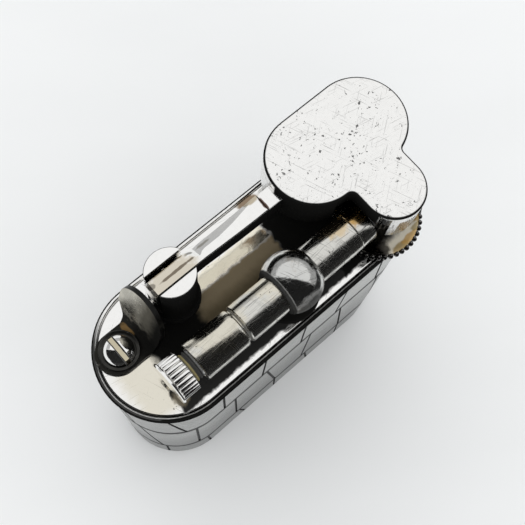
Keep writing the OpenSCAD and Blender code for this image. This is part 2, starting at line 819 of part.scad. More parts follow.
module flint_pusher() {
  color([0.7, 0.58, 0.34]) at_tube_axis() rod_x(pusher_x0, flint_x0, flint_r);
}

module flint() {
  color([0.25, 0.24, 0.24]) at_tube_axis() rod_x(flint_x0, flint_x1, flint_r);
}

// Wheels

module thumb_wheel() {
  hub_r = axle_head_r;
  color([0.66, 0.56, 0.36]) at_wheel() difference() {
    union() {
      translate([0, 0, thumb_z]) cylinder(h = thumb_t, r = bead_ring_r);
      translate([0, 0, thumb_z]) cylinder(h = spark_z - thumb_z, r = hub_r);
      for (i = [0 : bead_count - 1])
        rotate([0, 0, i * 360 / bead_count]) translate([bead_ring_r, 0, thumb_z + thumb_t / 2])
          cylinder(h = 2 * thumb_bead_r, r = thumb_bead_r, center = true, $fn = 24);
    }
    cylinder(h = case_h, r = axle_r + run_gap);
  }
}

module spark_wheel() {
  color([0.35, 0.34, 0.33]) at_wheel() translate([0, 0, spark_z]) linear_extrude(spark_h) difference() {
    polygon([for (i = [0 : 2 * spark_teeth - 1])
      (spark_r - (i % 2) * tooth_deep) * [cos(180 * i / spark_teeth), sin(180 * i / spark_teeth)]]);
    circle(axle_r + run_gap);
  }
}

module wheel_axle() {
  color([0.6, 0.58, 0.54]) at_wheel() difference() {
    union() {
      translate([0, 0, -plate_t - boss_h - screw_tail])
        cylinder(h = head_z + plate_t + boss_h + screw_tail + small, r = axle_r);
      translate([0, 0, head_z]) cylinder(h = axle_head_t, r = axle_head_r);
    }
    driver_slot(head_z + axle_head_t, axle_head_t / 2, axle_head_r);
  }
}

module axle_washer() {
  color([0.6, 0.58, 0.54]) at_wheel() difference() {
    cylinder(h = washer_t, r = axle_head_r);
    drill(axle_r + seat_gap);
  }
}

case_shell();
rim_bead();
top_plate();
base_plate();
filler_bush();
filler_screw();
filler_washer();
wadding();
wick();
wick_tube();
wick_nut();
windscreen();
hinge_post();
hinge_pin();
snuffer_arm();
snuffer_cap();
cap_seal();
heel_spring();
spring_screw();
dished_washer();
ball_pillar();
flint_tube();
flint_screw();
flint_spring();
flint_pusher();
flint();
thumb_wheel();
spark_wheel();
wheel_axle();
axle_washer();
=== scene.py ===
"""Looks of a lift-arm petrol pocket lighter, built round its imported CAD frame."""

import json
import math
import random

import bmesh
import bpy
from mathutils import Matrix, Vector

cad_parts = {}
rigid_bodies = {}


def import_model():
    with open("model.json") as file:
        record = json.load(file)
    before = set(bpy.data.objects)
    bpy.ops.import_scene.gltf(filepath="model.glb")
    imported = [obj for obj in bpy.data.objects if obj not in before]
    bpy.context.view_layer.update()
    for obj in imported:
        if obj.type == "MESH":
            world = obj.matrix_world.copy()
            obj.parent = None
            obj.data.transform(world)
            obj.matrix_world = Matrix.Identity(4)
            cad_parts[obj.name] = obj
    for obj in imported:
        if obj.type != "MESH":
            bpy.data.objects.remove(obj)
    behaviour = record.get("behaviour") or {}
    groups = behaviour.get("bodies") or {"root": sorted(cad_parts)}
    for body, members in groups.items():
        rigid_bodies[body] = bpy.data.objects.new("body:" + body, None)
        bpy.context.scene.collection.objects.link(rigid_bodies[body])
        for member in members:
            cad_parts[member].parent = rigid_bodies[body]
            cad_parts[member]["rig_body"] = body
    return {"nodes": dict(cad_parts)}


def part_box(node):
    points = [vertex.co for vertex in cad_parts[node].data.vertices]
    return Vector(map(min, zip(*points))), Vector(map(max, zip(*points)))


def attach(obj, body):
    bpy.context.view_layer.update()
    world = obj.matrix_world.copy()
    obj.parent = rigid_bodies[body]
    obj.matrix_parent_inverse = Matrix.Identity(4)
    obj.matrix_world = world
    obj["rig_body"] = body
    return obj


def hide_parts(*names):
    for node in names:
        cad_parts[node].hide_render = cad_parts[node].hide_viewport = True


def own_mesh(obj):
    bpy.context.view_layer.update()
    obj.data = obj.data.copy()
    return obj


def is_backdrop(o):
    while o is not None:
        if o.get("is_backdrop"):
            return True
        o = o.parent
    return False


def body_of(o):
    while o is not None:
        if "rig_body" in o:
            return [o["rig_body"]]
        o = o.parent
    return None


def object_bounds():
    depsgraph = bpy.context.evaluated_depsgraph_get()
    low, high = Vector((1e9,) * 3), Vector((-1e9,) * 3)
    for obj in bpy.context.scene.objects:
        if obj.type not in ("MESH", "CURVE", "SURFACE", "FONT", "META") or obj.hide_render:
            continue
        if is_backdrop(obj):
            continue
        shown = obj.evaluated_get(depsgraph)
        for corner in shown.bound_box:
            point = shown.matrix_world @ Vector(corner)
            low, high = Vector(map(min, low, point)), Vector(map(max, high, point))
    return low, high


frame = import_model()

bl_info = {
    "name": "Lift-arm lighter looks",
    "version": (1, 0, 0),
    "blender": (4, 5, 0),
    "location": "View3D > Sidebar > Lighter",
    "description": "Finished pieces, metals and studio stage for a lift-arm petrol lighter",
    "category": "Object",
}

MM = 0.001
CAD_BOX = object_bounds()


def box_mm(node):
    """Lowest and highest corner of a CAD node, in millimetres."""
    low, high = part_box(node)
    return low / MM, high / MM


def middle_mm(node):
    low, high = box_mm(node)
    return (low + high) / 2


DECK = box_mm("top_plate")[1].z
PIN = middle_mm("hinge_pin") - Vector((0, 0, DECK))
POST = middle_mm("hinge_post")
TUBE_LOW, TUBE_HIGH = box_mm("flint_tube")
TUBE = middle_mm("flint_tube") - Vector((0, 0, DECK))
WHEEL = middle_mm("spark_wheel")
BALL = 3.09  # Radius of the pillar's ball
BALL_FLAT = 1.88  # How far its flat lies from its middle
BALL_X = box_mm("ball_pillar")[1].x - BALL
LOBE = 4.72  # Radius of the cap's two large lobes
TAIL = 3.22  # Radius of the cap's lobe over the wheels
TAIL_X = WHEEL.x + 0.35
WICK = middle_mm("wick")
CAMERA_PLACE = (-19.98, -15.20, 116.01)
CAMERA_AHEAD = (0.2353, 0.1817, -0.9548)
CAMERA_RIGHT = (0.7494, -0.6594, 0.0593)
CAMERA_LENS = 59.5
COURSES = (-12.0, -26.7)  # Heights of the two cut lines round the tank, from the deck
DARK_SIDE = 220.7  # Heading from the lighter to the photographer, in degrees
MAT_EDGE = 46  # Where the dark near part of the table begins, in millimetres from the lighter
DARK_EDGE = 0.12  # How far past the zenith the dark side begins, as a tangent


# Sizes and colours that a user would change


def sized(millimetres):
    return {"default": millimetres * MM, "unit": "LENGTH"}


def coloured(*colour):
    return {"default": colour, "subtype": "COLOR"}


class LighterSizes(bpy.types.PropertyGroup):
    plate_round: bpy.props.FloatProperty(
        name="Plate rounding", description="Rounding of the plate's polished edge", **sized(0.16)
    )
    cap_edge: bpy.props.FloatProperty(
        name="Cap edge", description="Rounding of the cap's top edge", **sized(0.24)
    )
    skirt: bpy.props.FloatProperty(
        name="Cap wall", description="Thickness of the snuffer cap's wall", **sized(0.4)
    )
    leaf: bpy.props.FloatProperty(
        name="Spring leaf", description="Thickness of the heel spring's leaf", **sized(0.5)
    )
    beads: bpy.props.IntProperty(
        name="Beads", description="Beads round the thumb wheel", default=44, min=12
    )
    ridges: bpy.props.IntProperty(
        name="Ridges", description="Ridges round the flint screw's head", default=24, min=8
    )


class LighterColours(bpy.types.PropertyGroup):
    silver: bpy.props.FloatVectorProperty(
        name="Silver", description="The polished silver plate", **coloured(0.9, 0.892, 0.872)
    )
    satin: bpy.props.FloatVectorProperty(
        name="Satin wall", description="The tank's satin wall", **coloured(0.46, 0.465, 0.45)
    )
    tarnish: bpy.props.FloatVectorProperty(
        name="Tarnish", description="The brown tarnish", **coloured(0.3, 0.21, 0.12)
    )
    # Also the black of the painted shade on sides that mirror dark surroundings.
    dirt_and_shade_black: bpy.props.FloatVectorProperty(
        name="Dirt", description="The dirt in lines and corners", **coloured(0.009, 0.009, 0.0085)
    )
    floor: bpy.props.FloatVectorProperty(
        name="Floor", description="The pale floor", **coloured(0.9, 0.91, 0.91)
    )


# Mesh work, in millimetres until a piece is finished


def arc(centre, radius, start, end, steps):
    """Points on an arc, from one angle to another in degrees."""
    turns = [math.radians(start + (end - start) * i / steps) for i in range(steps + 1)]
    return [(centre[0] + radius * math.cos(t), centre[1] + radius * math.sin(t)) for t in turns]


def polyline(bm, points, closed):
    """Vertices joined by edges, in order."""
    verts = [bm.verts.new(point) for point in points]
    pairs = list(zip(verts, verts[1:]))
    if closed:
        pairs.append((verts[-1], verts[0]))
    return verts + [bm.edges.new(pair) for pair in pairs]


def weld(bm):
    bmesh.ops.remove_doubles(bm, verts=bm.verts, dist=1e-4)
    bmesh.ops.recalc_face_normals(bm, faces=bm.faces)
    return bm


def turned(profile, closed=False, steps=96):
    """A turned solid about Z from (radius, height) points."""
    bm = bmesh.new()
    geom = polyline(bm, [(radius, 0, height) for radius, height in profile], closed)
    bmesh.ops.spin(
        bm, geom=geom, axis=(0, 0, 1), angle=2 * math.pi, steps=steps, use_merge=True
    )
    return weld(bm)


def moved(bm, place):
    """Moves a whole mesh."""
    bmesh.ops.translate(bm, vec=place, verts=bm.verts)
    return bm


def quarter_turned(bm, axis):
    """Turns a whole mesh by 90 degrees about an axis through the origin."""
    turn = Matrix.Rotation(math.pi / 2, 3, axis)
    bmesh.ops.rotate(bm, matrix=turn, verts=bm.verts)
    return bm


def in_tube_line(bm):
    """Lays a solid made about Z in the flint tube's line."""
    return moved(quarter_turned(bm, "Y"), (0, TUBE.y, TUBE.z))


def only(kind, geom):
    return [g for g in geom if isinstance(g, kind)]


def around(radius, count, height):
    """Evenly spaced places on a circle about Z, each after its angle."""
    for index in range(count):
        angle = 2 * math.pi * index / count
        yield angle, (radius * math.cos(angle), radius * math.sin(angle), height)


def swept(profile, run, closed=True, steps=40):
    """A profile of (distance out, height) points swept round an oblong, its ends run apart."""
    bm = bmesh.new()
    front = polyline(bm, [(run / 2, -out, up) for out, up in profile], closed)
    for side in (1, -1):
        centre = (side * run / 2, 0, 0)
        turn = bmesh.ops.spin(
            bm, geom=front, cent=centre, axis=(0, 0, 1), angle=math.pi, steps=steps
        )
        edges = only(bmesh.types.BMEdge, turn["geom_last"])
        slide = bmesh.ops.extrude_edge_only(bm, edges=edges)
        verts = only(bmesh.types.BMVert, slide["geom"])
        bmesh.ops.translate(bm, vec=(-side * run, 0, 0), verts=verts)
        slid = set(verts)
        front = verts + [e for e in bm.edges if e.verts[0] in slid and e.verts[1] in slid]
    return weld(bm)


def bevelled(bm, edges, width, segments=2):
    """Rounds edges; the bevel is smooth in itself and sharp against the flats."""
    settings = {"segments": segments, "profile": 0.5, "material": -1, "clamp_overlap": True}
    made = bmesh.ops.bevel(bm, geom=edges, offset=width, affect="EDGES", **settings)
    faces = set(made["faces"])
    for face in faces:
        for edge in face.edges:
            edge.tag = not all(other in faces for other in edge.link_faces)
    return bm


def corners(bm, least=40):
    """Edges that turn by more than this many degrees."""
    limit = math.radians(least)
    return [e for e in bm.edges if len(e.link_faces) == 2 and e.calc_face_angle(0) > limit]


def fill(bm):
    """Closes the open edges with flat faces."""
    edges = [e for e in bm.edges if e.is_boundary]
    bmesh.ops.holes_fill(bm, edges=edges, sides=0)
    return bm


def split(bm, point, direction, geom=None, clear=False):
    """Cuts a mesh along a plane, and may clear what lies ahead of the plane."""
    if geom is None:
        geom = list(bm.verts) + list(bm.edges) + list(bm.faces)
    bmesh.ops.bisect_plane(
        bm, geom=geom, plane_co=point, plane_no=direction, clear_outer=clear
    )


def cut(bm, point, direction):
    """Cuts away what lies ahead of a plane, and closes the cut."""
    split(bm, point, direction, clear=True)
    return fill(bm)


def gathered(parts):
    """One mesh of several."""
    whole = bmesh.new()
    for part in parts:
        mesh = bpy.data.meshes.new("part")
        part.to_mesh(mesh)
        part.free()
        whole.from_mesh(mesh)
        bpy.data.meshes.remove(mesh)
    return whole


def slotted(make, across, half, floor):
    """A solid with a slot sawn down to a floor: two cheeks and what stands between them."""
    across = Vector(across)
    cheeks = [cut(make(), across * side * half, -across * side) for side in (1, -1)]
    web = make()
    for side in (1, -1):
        cut(web, across * side * (half + 0.02), across * side)
    cut(web, (0, 0, floor), (0, 0, 1))
    return gathered(cheeks + [web])


def rounded_block(low, high, width):
    """A block between two corners, with fine bevels."""
    low, high = Vector(low), Vector(high)
    bm = bmesh.new()
    bmesh.ops.create_cube(bm, size=1)
    bmesh.ops.scale(bm, vec=high - low, verts=bm.verts)
    return bevelled(moved(bm, (low + high) / 2), list(bm.edges), width)


def copied(node):
    """A CAD node's mesh, merged, in millimetres above the deck."""
    bm = bmesh.new()
    bm.from_mesh(frame["nodes"][node].data)
    bmesh.ops.scale(bm, vec=(1 / MM,) * 3, verts=bm.verts)
    bmesh.ops.remove_doubles(bm, verts=bm.verts, dist=2e-3)
    bmesh.ops.dissolve_limit(
        bm, angle_limit=math.radians(0.4), verts=bm.verts, edges=bm.edges
    )
    return moved(bm, (0, 0, -DECK))


def placed(name, data):
    """Makes an object of the scene."""
    made = bpy.data.objects.new(name, data)
    bpy.context.scene.collection.objects.link(made)
    return made


def placed_mesh(name, bm):
    """Makes a mesh an object of the scene."""
    mesh = bpy.data.meshes.new(name)
    bm.to_mesh(mesh)
    bm.free()
    return placed(name, mesh)


def piece(name, bm, node, finish, at=(0, 0), flat_above=30):
    """Makes a mesh, given in millimetres above the deck, the piece that stands for a CAD node."""
    moved(bm, (at[0], at[1], DECK))
    bmesh.ops.scale(bm, vec=(MM, MM, MM), verts=bm.verts)
    limit = math.radians(flat_above)
    for face in bm.faces:
        face.smooth = True
    for edge in bm.edges:
        edge.smooth = not (edge.tag or edge.calc_face_angle(0) > limit)
    made = placed_mesh(name, bm)
    made.data.materials.append(material(finish))
    nodes = (node,) if isinstance(node, str) else node
    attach(made, body_of(frame["nodes"][nodes[0]])[0])
    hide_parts(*nodes)
    return made


# Materials


class Value:
    """A number on a node tree; an expression on it adds its Math nodes."""

    def __init__(self, paint, socket):
        self.paint = paint
        self.socket = socket

    def __add__(self, other):
        return self.paint.maths("ADD", self, other)

    def __sub__(self, other):
        return self.paint.maths("SUBTRACT", self, other)

    def __rsub__(self, other):
        return self.paint.maths("SUBTRACT", other, self)

    def __mul__(self, other):
        return self.paint.maths("MULTIPLY", self, other)

    __radd__ = __add__
    __rmul__ = __mul__


class Paint:
    """A material under construction. Its point is the Object coordinate in millimetres."""

    def __init__(self, name, world=None):
        self.made = world or bpy.data.materials.new(name)
        self.made.use_nodes = True
        self.tree = self.made.node_tree
        self.tree.nodes.clear()
        if world is None:
            place = self.node("ShaderNodeTexCoord", output="Object")
            self.point = self.mapped(place, scale=(1 / MM,) * 3)

    def node(self, kind, settings=None, sockets=None, output=0):
        """Adds a node: its settings first, then its sockets' values or links."""
        made = self.tree.nodes.new(kind)
        for name, value in (settings or {}).items():
            setattr(made, name, value)
        for name, value in (sockets or {}).items():
            if isinstance(value, Value):
                self.tree.links.new(value.socket, made.inputs[name])
            else:
                made.inputs[name].default_value = value
        return Value(self, made.outputs[output]) if made.outputs else None

    def maths(self, operation, first, second):
        return self.node("ShaderNodeMath", {"operation": operation}, {0: first, 1: second})

    def unsigned(self, value):
        return self.maths("ABSOLUTE", value, 0)

    def most(self, first, second):
        """The larger of two values; a missing one is left out."""
        if first is None or second is None:
            return first or second
        return self.maths("MAXIMUM", first, second)

    def mapped(self, vector, place=(0, 0, 0), turn=(0, 0, 0), scale=(1, 1, 1)):
        sockets = {"Vector": vector, "Location": place, "Rotation": turn, "Scale": scale}
        return self.node("ShaderNodeMapping", {}, sockets)

    def noise(self, scale, detail=3, stretch=(1, 1, 1), turn=0, shift=0, distortion=0):
        """Noise from 0 to 1; its scale is in features per millimetre."""
        along = self.mapped(self.point, place=(shift,) * 3, turn=(0, 0, math.radians(turn)))
        along = self.mapped(along, scale=stretch)
        sockets = {"Vector": along, "Scale": scale, "Detail": detail, "Distortion": distortion}
        return self.node("ShaderNodeTexNoise", {"noise_dimensions": "3D"}, sockets)

    def step(self, value, low, high, start=0, end=1):
        """Runs smoothly from start to end as value goes from low to high."""
        settings = {"interpolation_type": "SMOOTHSTEP", "clamp": True}
        limits = {"From Min": low, "From Max": high, "To Min": start, "To Max": end}
        return self.node("ShaderNodeMapRange", settings, {"Value": value, **limits})

    def between(self, value, low, high, soft):
        """One between two limits and zero beyond them, with soft edges."""
        return self.step(value, low - soft, low + soft) * self.step(value, high + soft, high - soft)

    def mix(self, share, first, second):
        """Mixes two colours."""
        settings = {"data_type": "RGBA", "blend_type": "MIX", "clamp_factor": True}
        sockets = {0: share, 6: rgba(first), 7: rgba(second)}
        return self.node("ShaderNodeMix", settings, sockets, output=2)

    def distance(self, centre, stretch=(1, 1, 1)):
        """Distance from a point, in millimetres."""
        place = tuple(-c * s for c, s in zip(centre, stretch))
        near = self.mapped(self.point, place=place, scale=stretch)
        return self.node("ShaderNodeVectorMath", {"operation": "LENGTH"}, {0: near}, output=1)

    def height(self, axis):
        """One coordinate of the point, in millimetres."""
        return self.node("ShaderNodeSeparateXYZ", {}, {0: self.point}, output=axis)

    def scratches(self, seed, length=3, fineness=11, share=0.3, turns=(0,)):
        """Fine straight marks in a few directions, from 0 to 1."""
        marks = None
        low = 0.82 - 0.25 * share
        stretch = (1 / (length * fineness), 1, 1 / (length * fineness))
        for count, turn in enumerate(turns):
            lines = self.noise(fineness, 1, stretch, turn, shift=seed + 7.3 * count)
            marks = self.most(marks, self.step(lines, low, low + 0.06))
        return marks

    def specks(self, scale, share, seed):
        """Small ragged dark spots that gather in places, from 0 to 1."""
        grain = self.noise(scale, 4, shift=seed, distortion=0.6)
        where = self.noise(scale * 0.16, 3, shift=seed + 3)
        low = 1.0 - 0.14 * share
        return self.step(grain + where * 0.4, low, low + 0.05)

    def bump(self, height, strength, distance, under=None):
        sockets = {"Height": height, "Strength": strength, "Distance": distance * MM}
        if under is not None:
            sockets["Normal"] = under
        return self.node("ShaderNodeBump", {}, sockets)

    def finish(self, colour, roughness, metallic, normal=None, specular=0.5):
        sockets = {"Base Color": rgba(colour), "Roughness": roughness, "Metallic": metallic}
        sockets["Specular IOR Level"] = specular
        if normal is not None:
            sockets["Normal"] = normal
        shader = self.node("ShaderNodeBsdfPrincipled", {}, sockets)
        self.node("ShaderNodeOutputMaterial", {}, {"Surface": shader})
        return self.made


def rgba(colour):
    return colour if isinstance(colour, Value) else (*colour[:3], 1)


def shaded(colour, share):
    """A colour made darker or lighter."""
    return tuple(c * share for c in colour)


def colours():
    return bpy.context.scene.lighter_colours


def sizes():
    return bpy.context.scene.lighter_sizes


def stained_and_shaded(paint, colour, stains, hidden=None):
    """Lays stains and painted shade on a colour: each is (centre above the deck, reach, tint,
    strength, stretch).

    Like patched and banded, it also gives the share of the metal that dirt and painted shade hide.
    """
    edge = paint.noise(1.6, 5, shift=2.7)
    for centre, reach, tint, strength, *stretch in stains:
        far = paint.distance((centre[0], centre[1], centre[2] + DECK), *stretch)
        inside = 1 - far * (1 / reach) + (edge - 0.5) * 0.8
        share = paint.step(inside, 0.06, 0.4) * strength
        colour = paint.mix(share, colour, tint)
        if tint == SHADE_AND_DIRT_BLACK:
            hidden = paint.most(hidden, share)
    return colour, hidden


def patched(paint, colour, patches, hidden=None):
    """Lays soft oblongs on a colour: each is (low x, high x, low y, high y, softness, tint, share).

    Dark ones, tarnish and painted shade alike, and those marked matt at the end hide the metal.
    """
    ragged = paint.noise(1.3, 5, shift=14) - 0.5
    x = paint.height(0) + ragged * 1.1
    y = paint.height(1) + ragged * 0.7
    for left, right, near, far, soft, tint, share, *matt in patches:
        inside = paint.between(x, left, right, soft) * paint.between(y, near, far, soft) * share
        colour = paint.mix(inside, colour, tint)
        if matt or max(tint) < 0.5:
            hidden = paint.most(hidden, inside)
    return colour, hidden


def banded(paint, colour, bands, hidden=None):
    """Lays rings across X on a colour: each is (place, half width, tint, strength)."""
    wobble = paint.noise(2.5, 3, shift=6)
    for place, half, tint, strength in bands:
        off = paint.unsigned(paint.height(0) - place + (wobble - 0.5) * 0.06)
        ring = paint.step(off, half * 1.3, half * 0.7) * strength
        colour = paint.mix(ring, colour, tint)
        if tint == SHADE_AND_DIRT_BLACK:
            hidden = paint.most(hidden, ring)
    return colour, hidden


def blackened(paint, colour, patina, hidden=None):
    """Painted shade: blackens what lies within limits, each being (low z, high z, low y, high y,
    high x).
    """
    for low, high, near, far, right in patina:
        z = paint.height(2) - DECK
        layer = paint.step(z, high, high - 0.025) * paint.step(z, low - 0.05, low + 0.05)
        layer = layer * paint.between(paint.height(1), near, far, 0.1)
        layer = layer * paint.step(paint.height(0), right + 0.3, right - 0.3)
        hidden = paint.most(hidden, layer)
        colour = paint.mix(layer, colour, dirt_and_shade_black())
    return colour, hidden


MARKS = {"patches": patched, "stains": stained_and_shaded, "bands": banded, "patina": blackened}
CROSSWISE = (12, 68, -35)  # Directions of scratches, in degrees
LENGTHWISE = (0, 4, -5, 74)


def polished(
    name, roughness, wear, tarnish, seed, wave, colour=None, turns=CROSSWISE, specks=1, **marks
):
    """Polished plate with scratches, specks, a little waviness, brown tarnish, marks of dirt and
    painted shade.
    """
    paint = Paint(name)
    colour = colour or silver()
    cloud = paint.noise(0.45, 4, shift=seed)
    fine = paint.noise(2.4, 5, shift=seed + 5)
    grain = paint.noise(11, 3, shift=seed + 8)
    scratch = paint.scratches(seed, share=wear, turns=turns)
    speck = paint.specks(3.2, wear * specks, seed)
    dust = paint.specks(7, wear * 0.8 * specks, seed + 40)
    brown = cloud * 0.6 + fine * 0.25 + grain * 0.15
    brown = paint.step(brown, 0.62 - 0.25 * tarnish, 0.8 - 0.2 * tarnish) * min(1, tarnish * 2)
    tone = paint.mix(brown, colour, tuple(colours().tarnish))
    tone = paint.mix(paint.step(fine, 0.3, 0.7) * 0.1, tone, shaded(colour, 0.75))
    tone = paint.mix(scratch * (0.2 + 0.5 * wear), tone, shaded(colour, 0.3))
    hidden = None
    for kind, lay in MARKS.items():
        tone, hidden = lay(paint, tone, marks.get(kind, ()), hidden)
    tone = paint.mix(paint.most(speck, dust * 0.7) * 0.85, tone, dirt_and_shade_black())
    rough = fine * 0.06 + (roughness - 0.03) + brown * 0.2 + scratch * 0.15
    normal = paint.bump(paint.noise(0.7, 2, shift=seed + 11), 0.35 * wave, 0.12)
    normal = paint.bump(scratch * -1 + speck * -1 + fine * 0.15, 0.2, 0.008, normal)
    return paint.finish(tone, rough, 1 - (hidden or 0), normal, specular=0)


def outward(paint, low, high):
    """Distance from the middle line of an oblong that fills a box."""
    run = (high.x - low.x) / 2 - (high.y - low.y) / 2
    beyond = paint.most(paint.unsigned(paint.height(0)) - run, 0)
    y = paint.height(1)
    return paint.maths("SQRT", beyond * beyond + y * y, 0)


def satin_wall():
    """Satin wall with lengthwise brushing and black cut lines, darker below and to the left."""
    paint = Paint("satin_wall")
    low, high = box_mm("case_shell")
    radius = (high.y - low.y) / 2
    out = outward(paint, low, high)
    groove = paint.step(out, radius - 0.01, radius - 0.05)
    wobble = paint.noise(0.5, 3, shift=30)
    z = paint.height(2) + (wobble - 0.5) * 0.8
    lines = None
    for course in COURSES:
        line = paint.step(paint.unsigned(z - (DECK + course)), 1.0, 0.5)
        lines = paint.most(lines, line)
    edge = paint.step(out, radius + 0.01, radius - 0.04)
    brush = paint.noise(5.5, 4, stretch=(0.03, 0.03, 1), shift=4)
    broad = paint.noise(0.5, 4, stretch=(0.25, 0.25, 1), shift=9)
    scratch = paint.scratches(3, length=4, fineness=8, share=0.15, turns=(0, 90))
    smear = paint.noise(1.4, 4, shift=17)
    satin = tuple(colours().satin)
    shade = paint.most(paint.step(z, DECK - 6, 9), paint.step(paint.height(0), -9, -18) * 0.6)
    groove = paint.most(groove, lines * 0.9)
    tone = satin
    for share, tint in (
        (paint.step(brush, 0.35, 0.7) * 0.35, shaded(satin, 0.7)),
        (paint.step(broad, 0.4, 0.75) * 0.3, shaded(satin, 1.2)),
        (scratch * 0.4, shaded(satin, 0.4)),
        (edge * paint.step(smear, 0.35, 0.6) * 0.5, shaded(satin, 0.3)),
        (shade * 0.85, shaded(satin, 0.2)),
        (groove, dirt_and_shade_black()),
    ):
        tone = paint.mix(share, tone, tint)
    normal = paint.bump(brush, 0.25, 0.02)
    normal = paint.bump(smear, 0.15, 0.05, normal)
    return paint.finish(tone, brush * 0.16 + 0.2 + groove * 0.3, 1 - groove, normal)


def dark_metal(name, colour, roughness, seed, stains=(), patches=()):
    """Dark polished metal with rubbed high spots."""
    paint = Paint(name)
    fine = paint.noise(3.2, 5, shift=seed)
    cloud = paint.noise(0.8, 3, shift=seed + 4)
    scratch = paint.scratches(seed + 12, length=1.6, fineness=9, share=0.4)
    tone = paint.mix(paint.step(cloud, 0.4, 0.7) * 0.5, colour, shaded(colour, 1.7))
    tone = paint.mix(scratch * 0.4, tone, tuple(min(1, c * 3 + 0.1) for c in colour))
    tone, hidden = patched(paint, tone, patches)
    tone, hidden = stained_and_shaded(paint, tone, stains, hidden)
    rough = fine * 0.15 + roughness + cloud * 0.08
    normal = paint.bump(fine + scratch * -1, 0.3, 0.01)
    return paint.finish(tone, rough, 1 - (hidden or 0), normal, specular=0)


def rim_metal():
    """Rim whose outer edge and joint are black with dirt, the joint less so far off, and whose near
    side and left end are painted black as shade.
    """
    paint = Paint("rim_silver")
    low, high = box_mm("rim_bead")
    radius = (high.y - low.y) / 2
    fine = paint.noise(3, 5, shift=87)
    edge = outward(paint, low, high) + (fine - 0.5) * 0.05
    uneven = (fine - 0.5) * 0.4
    joint = paint.step(edge, radius - 0.5, radius - 0.56)
    joint = joint * paint.step(paint.height(1), 6.2, 4.2, 0.15, 1)
    dirt = paint.most(paint.step(edge, radius - 0.24, radius - 0.17), joint)
    # Painted shade: the near side and the left end are blackened across the bead, except for a thin
    # lighter line; from here the dirt mask also holds this painted shade.
    near = paint.step(paint.height(1) + uneven, -3.2, -5.2)
    left = paint.step(paint.height(0) + uneven, -14.5, -17.5)
    line = paint.step(paint.unsigned(edge - (radius - 0.42)), 0.03, 0.07, 0.35, 1)
    dirt = paint.most(dirt, paint.most(near, left * 0.95) * line)
    tone = paint.mix(paint.step(fine, 0.3, 0.7) * 0.3, silver(), shaded(silver(), 0.6))
    tone = paint.mix(dirt, tone, dirt_and_shade_black())
    return paint.finish(tone, fine * 0.1 + 0.08, 1 - dirt, paint.bump(fine, 0.2, 0.01), specular=0)


def fibre(name, colour, shade, stretch=(1, 1, 1)):
    """Matt fibres such as wick, wadding or leather."""
    paint = Paint(name)
    strand = paint.noise(7, 5, stretch=stretch)
    cloud = paint.noise(0.9, 4, shift=8)
    tone = paint.mix(paint.step(strand, 0.35, 0.7), shade, colour)
    tone = paint.mix(paint.step(cloud, 0.45, 0.75) * 0.5, tone, shade)
    return paint.finish(tone, strand * 0.2 + 0.75, 0, paint.bump(strand, 0.8, 0.06))


def flint_alloy():
    """Grey sintered metal with a grainy face."""
    paint = Paint("flint_alloy")
    grain = paint.noise(9, 4)
    tone = paint.mix(paint.step(grain, 0.35, 0.65), (0.1, 0.1, 0.105), (0.24, 0.235, 0.23))
    return paint.finish(tone, grain * 0.2 + 0.45, 0.8, paint.bump(grain, 0.7, 0.03))


MATERIALS = {}


def material(name):
    """Each finish is made once, when a piece first asks for it."""
    if name not in MATERIALS:
        make, *settings = FINISHES[name]
        MATERIALS[name] = make(*settings, **DIRT_AND_SHADE.get(name, {}))
    return MATERIALS[name]


def silver():
    return tuple(colours().silver)


def dirt_and_shade_black():
    return tuple(colours().dirt_and_shade_black)


# Dirt and painted shade on the finishes: what the numbers are is said where each kind is laid
EVERYWHERE = 99
GOLDEN = (0.5, 0.3, 0.09)
BROWN = (0.2, 0.125, 0.06)
# Painted shade: a black line along the cap's rounded top edge, and the skirt blackened except on
# its far side and on the tail over the wheels.
CAP_PAINTED_SHADE = (
    (7.9, 8.199, -EVERYWHERE, EVERYWHERE, EVERYWHERE),
    (0, 8.0, -4.8, 3.6, 11.5),
)
# Painted shade: a black line round the post's top edge, and its body blackened except on the far
# side.
POST_PAINTED_SHADE = (
    (8.3, 8.395, -EVERYWHERE, EVERYWHERE, EVERYWHERE),
    (-1, 8.36, -EVERYWHERE, 3.6, EVERYWHERE),
)
# Painted shade blackens the arm's near side below its top.
ARM_PAINTED_SHADE = ((3, 7.14, -EVERYWHERE, 2.75, EVERYWHERE),)
# Painted shade blackens the pillar and the ball's lower part.
BALL_PAINTED_SHADE = ((-1, 2.6, -EVERYWHERE, EVERYWHERE, EVERYWHERE),)
BRONZE = (0.19, 0.15, 0.09)
# Tarnish darkened by painted shade near the flint tube.
SHADED_BRONZE = (0.085, 0.068, 0.04)
BEIGE = (0.7, 0.655, 0.54)
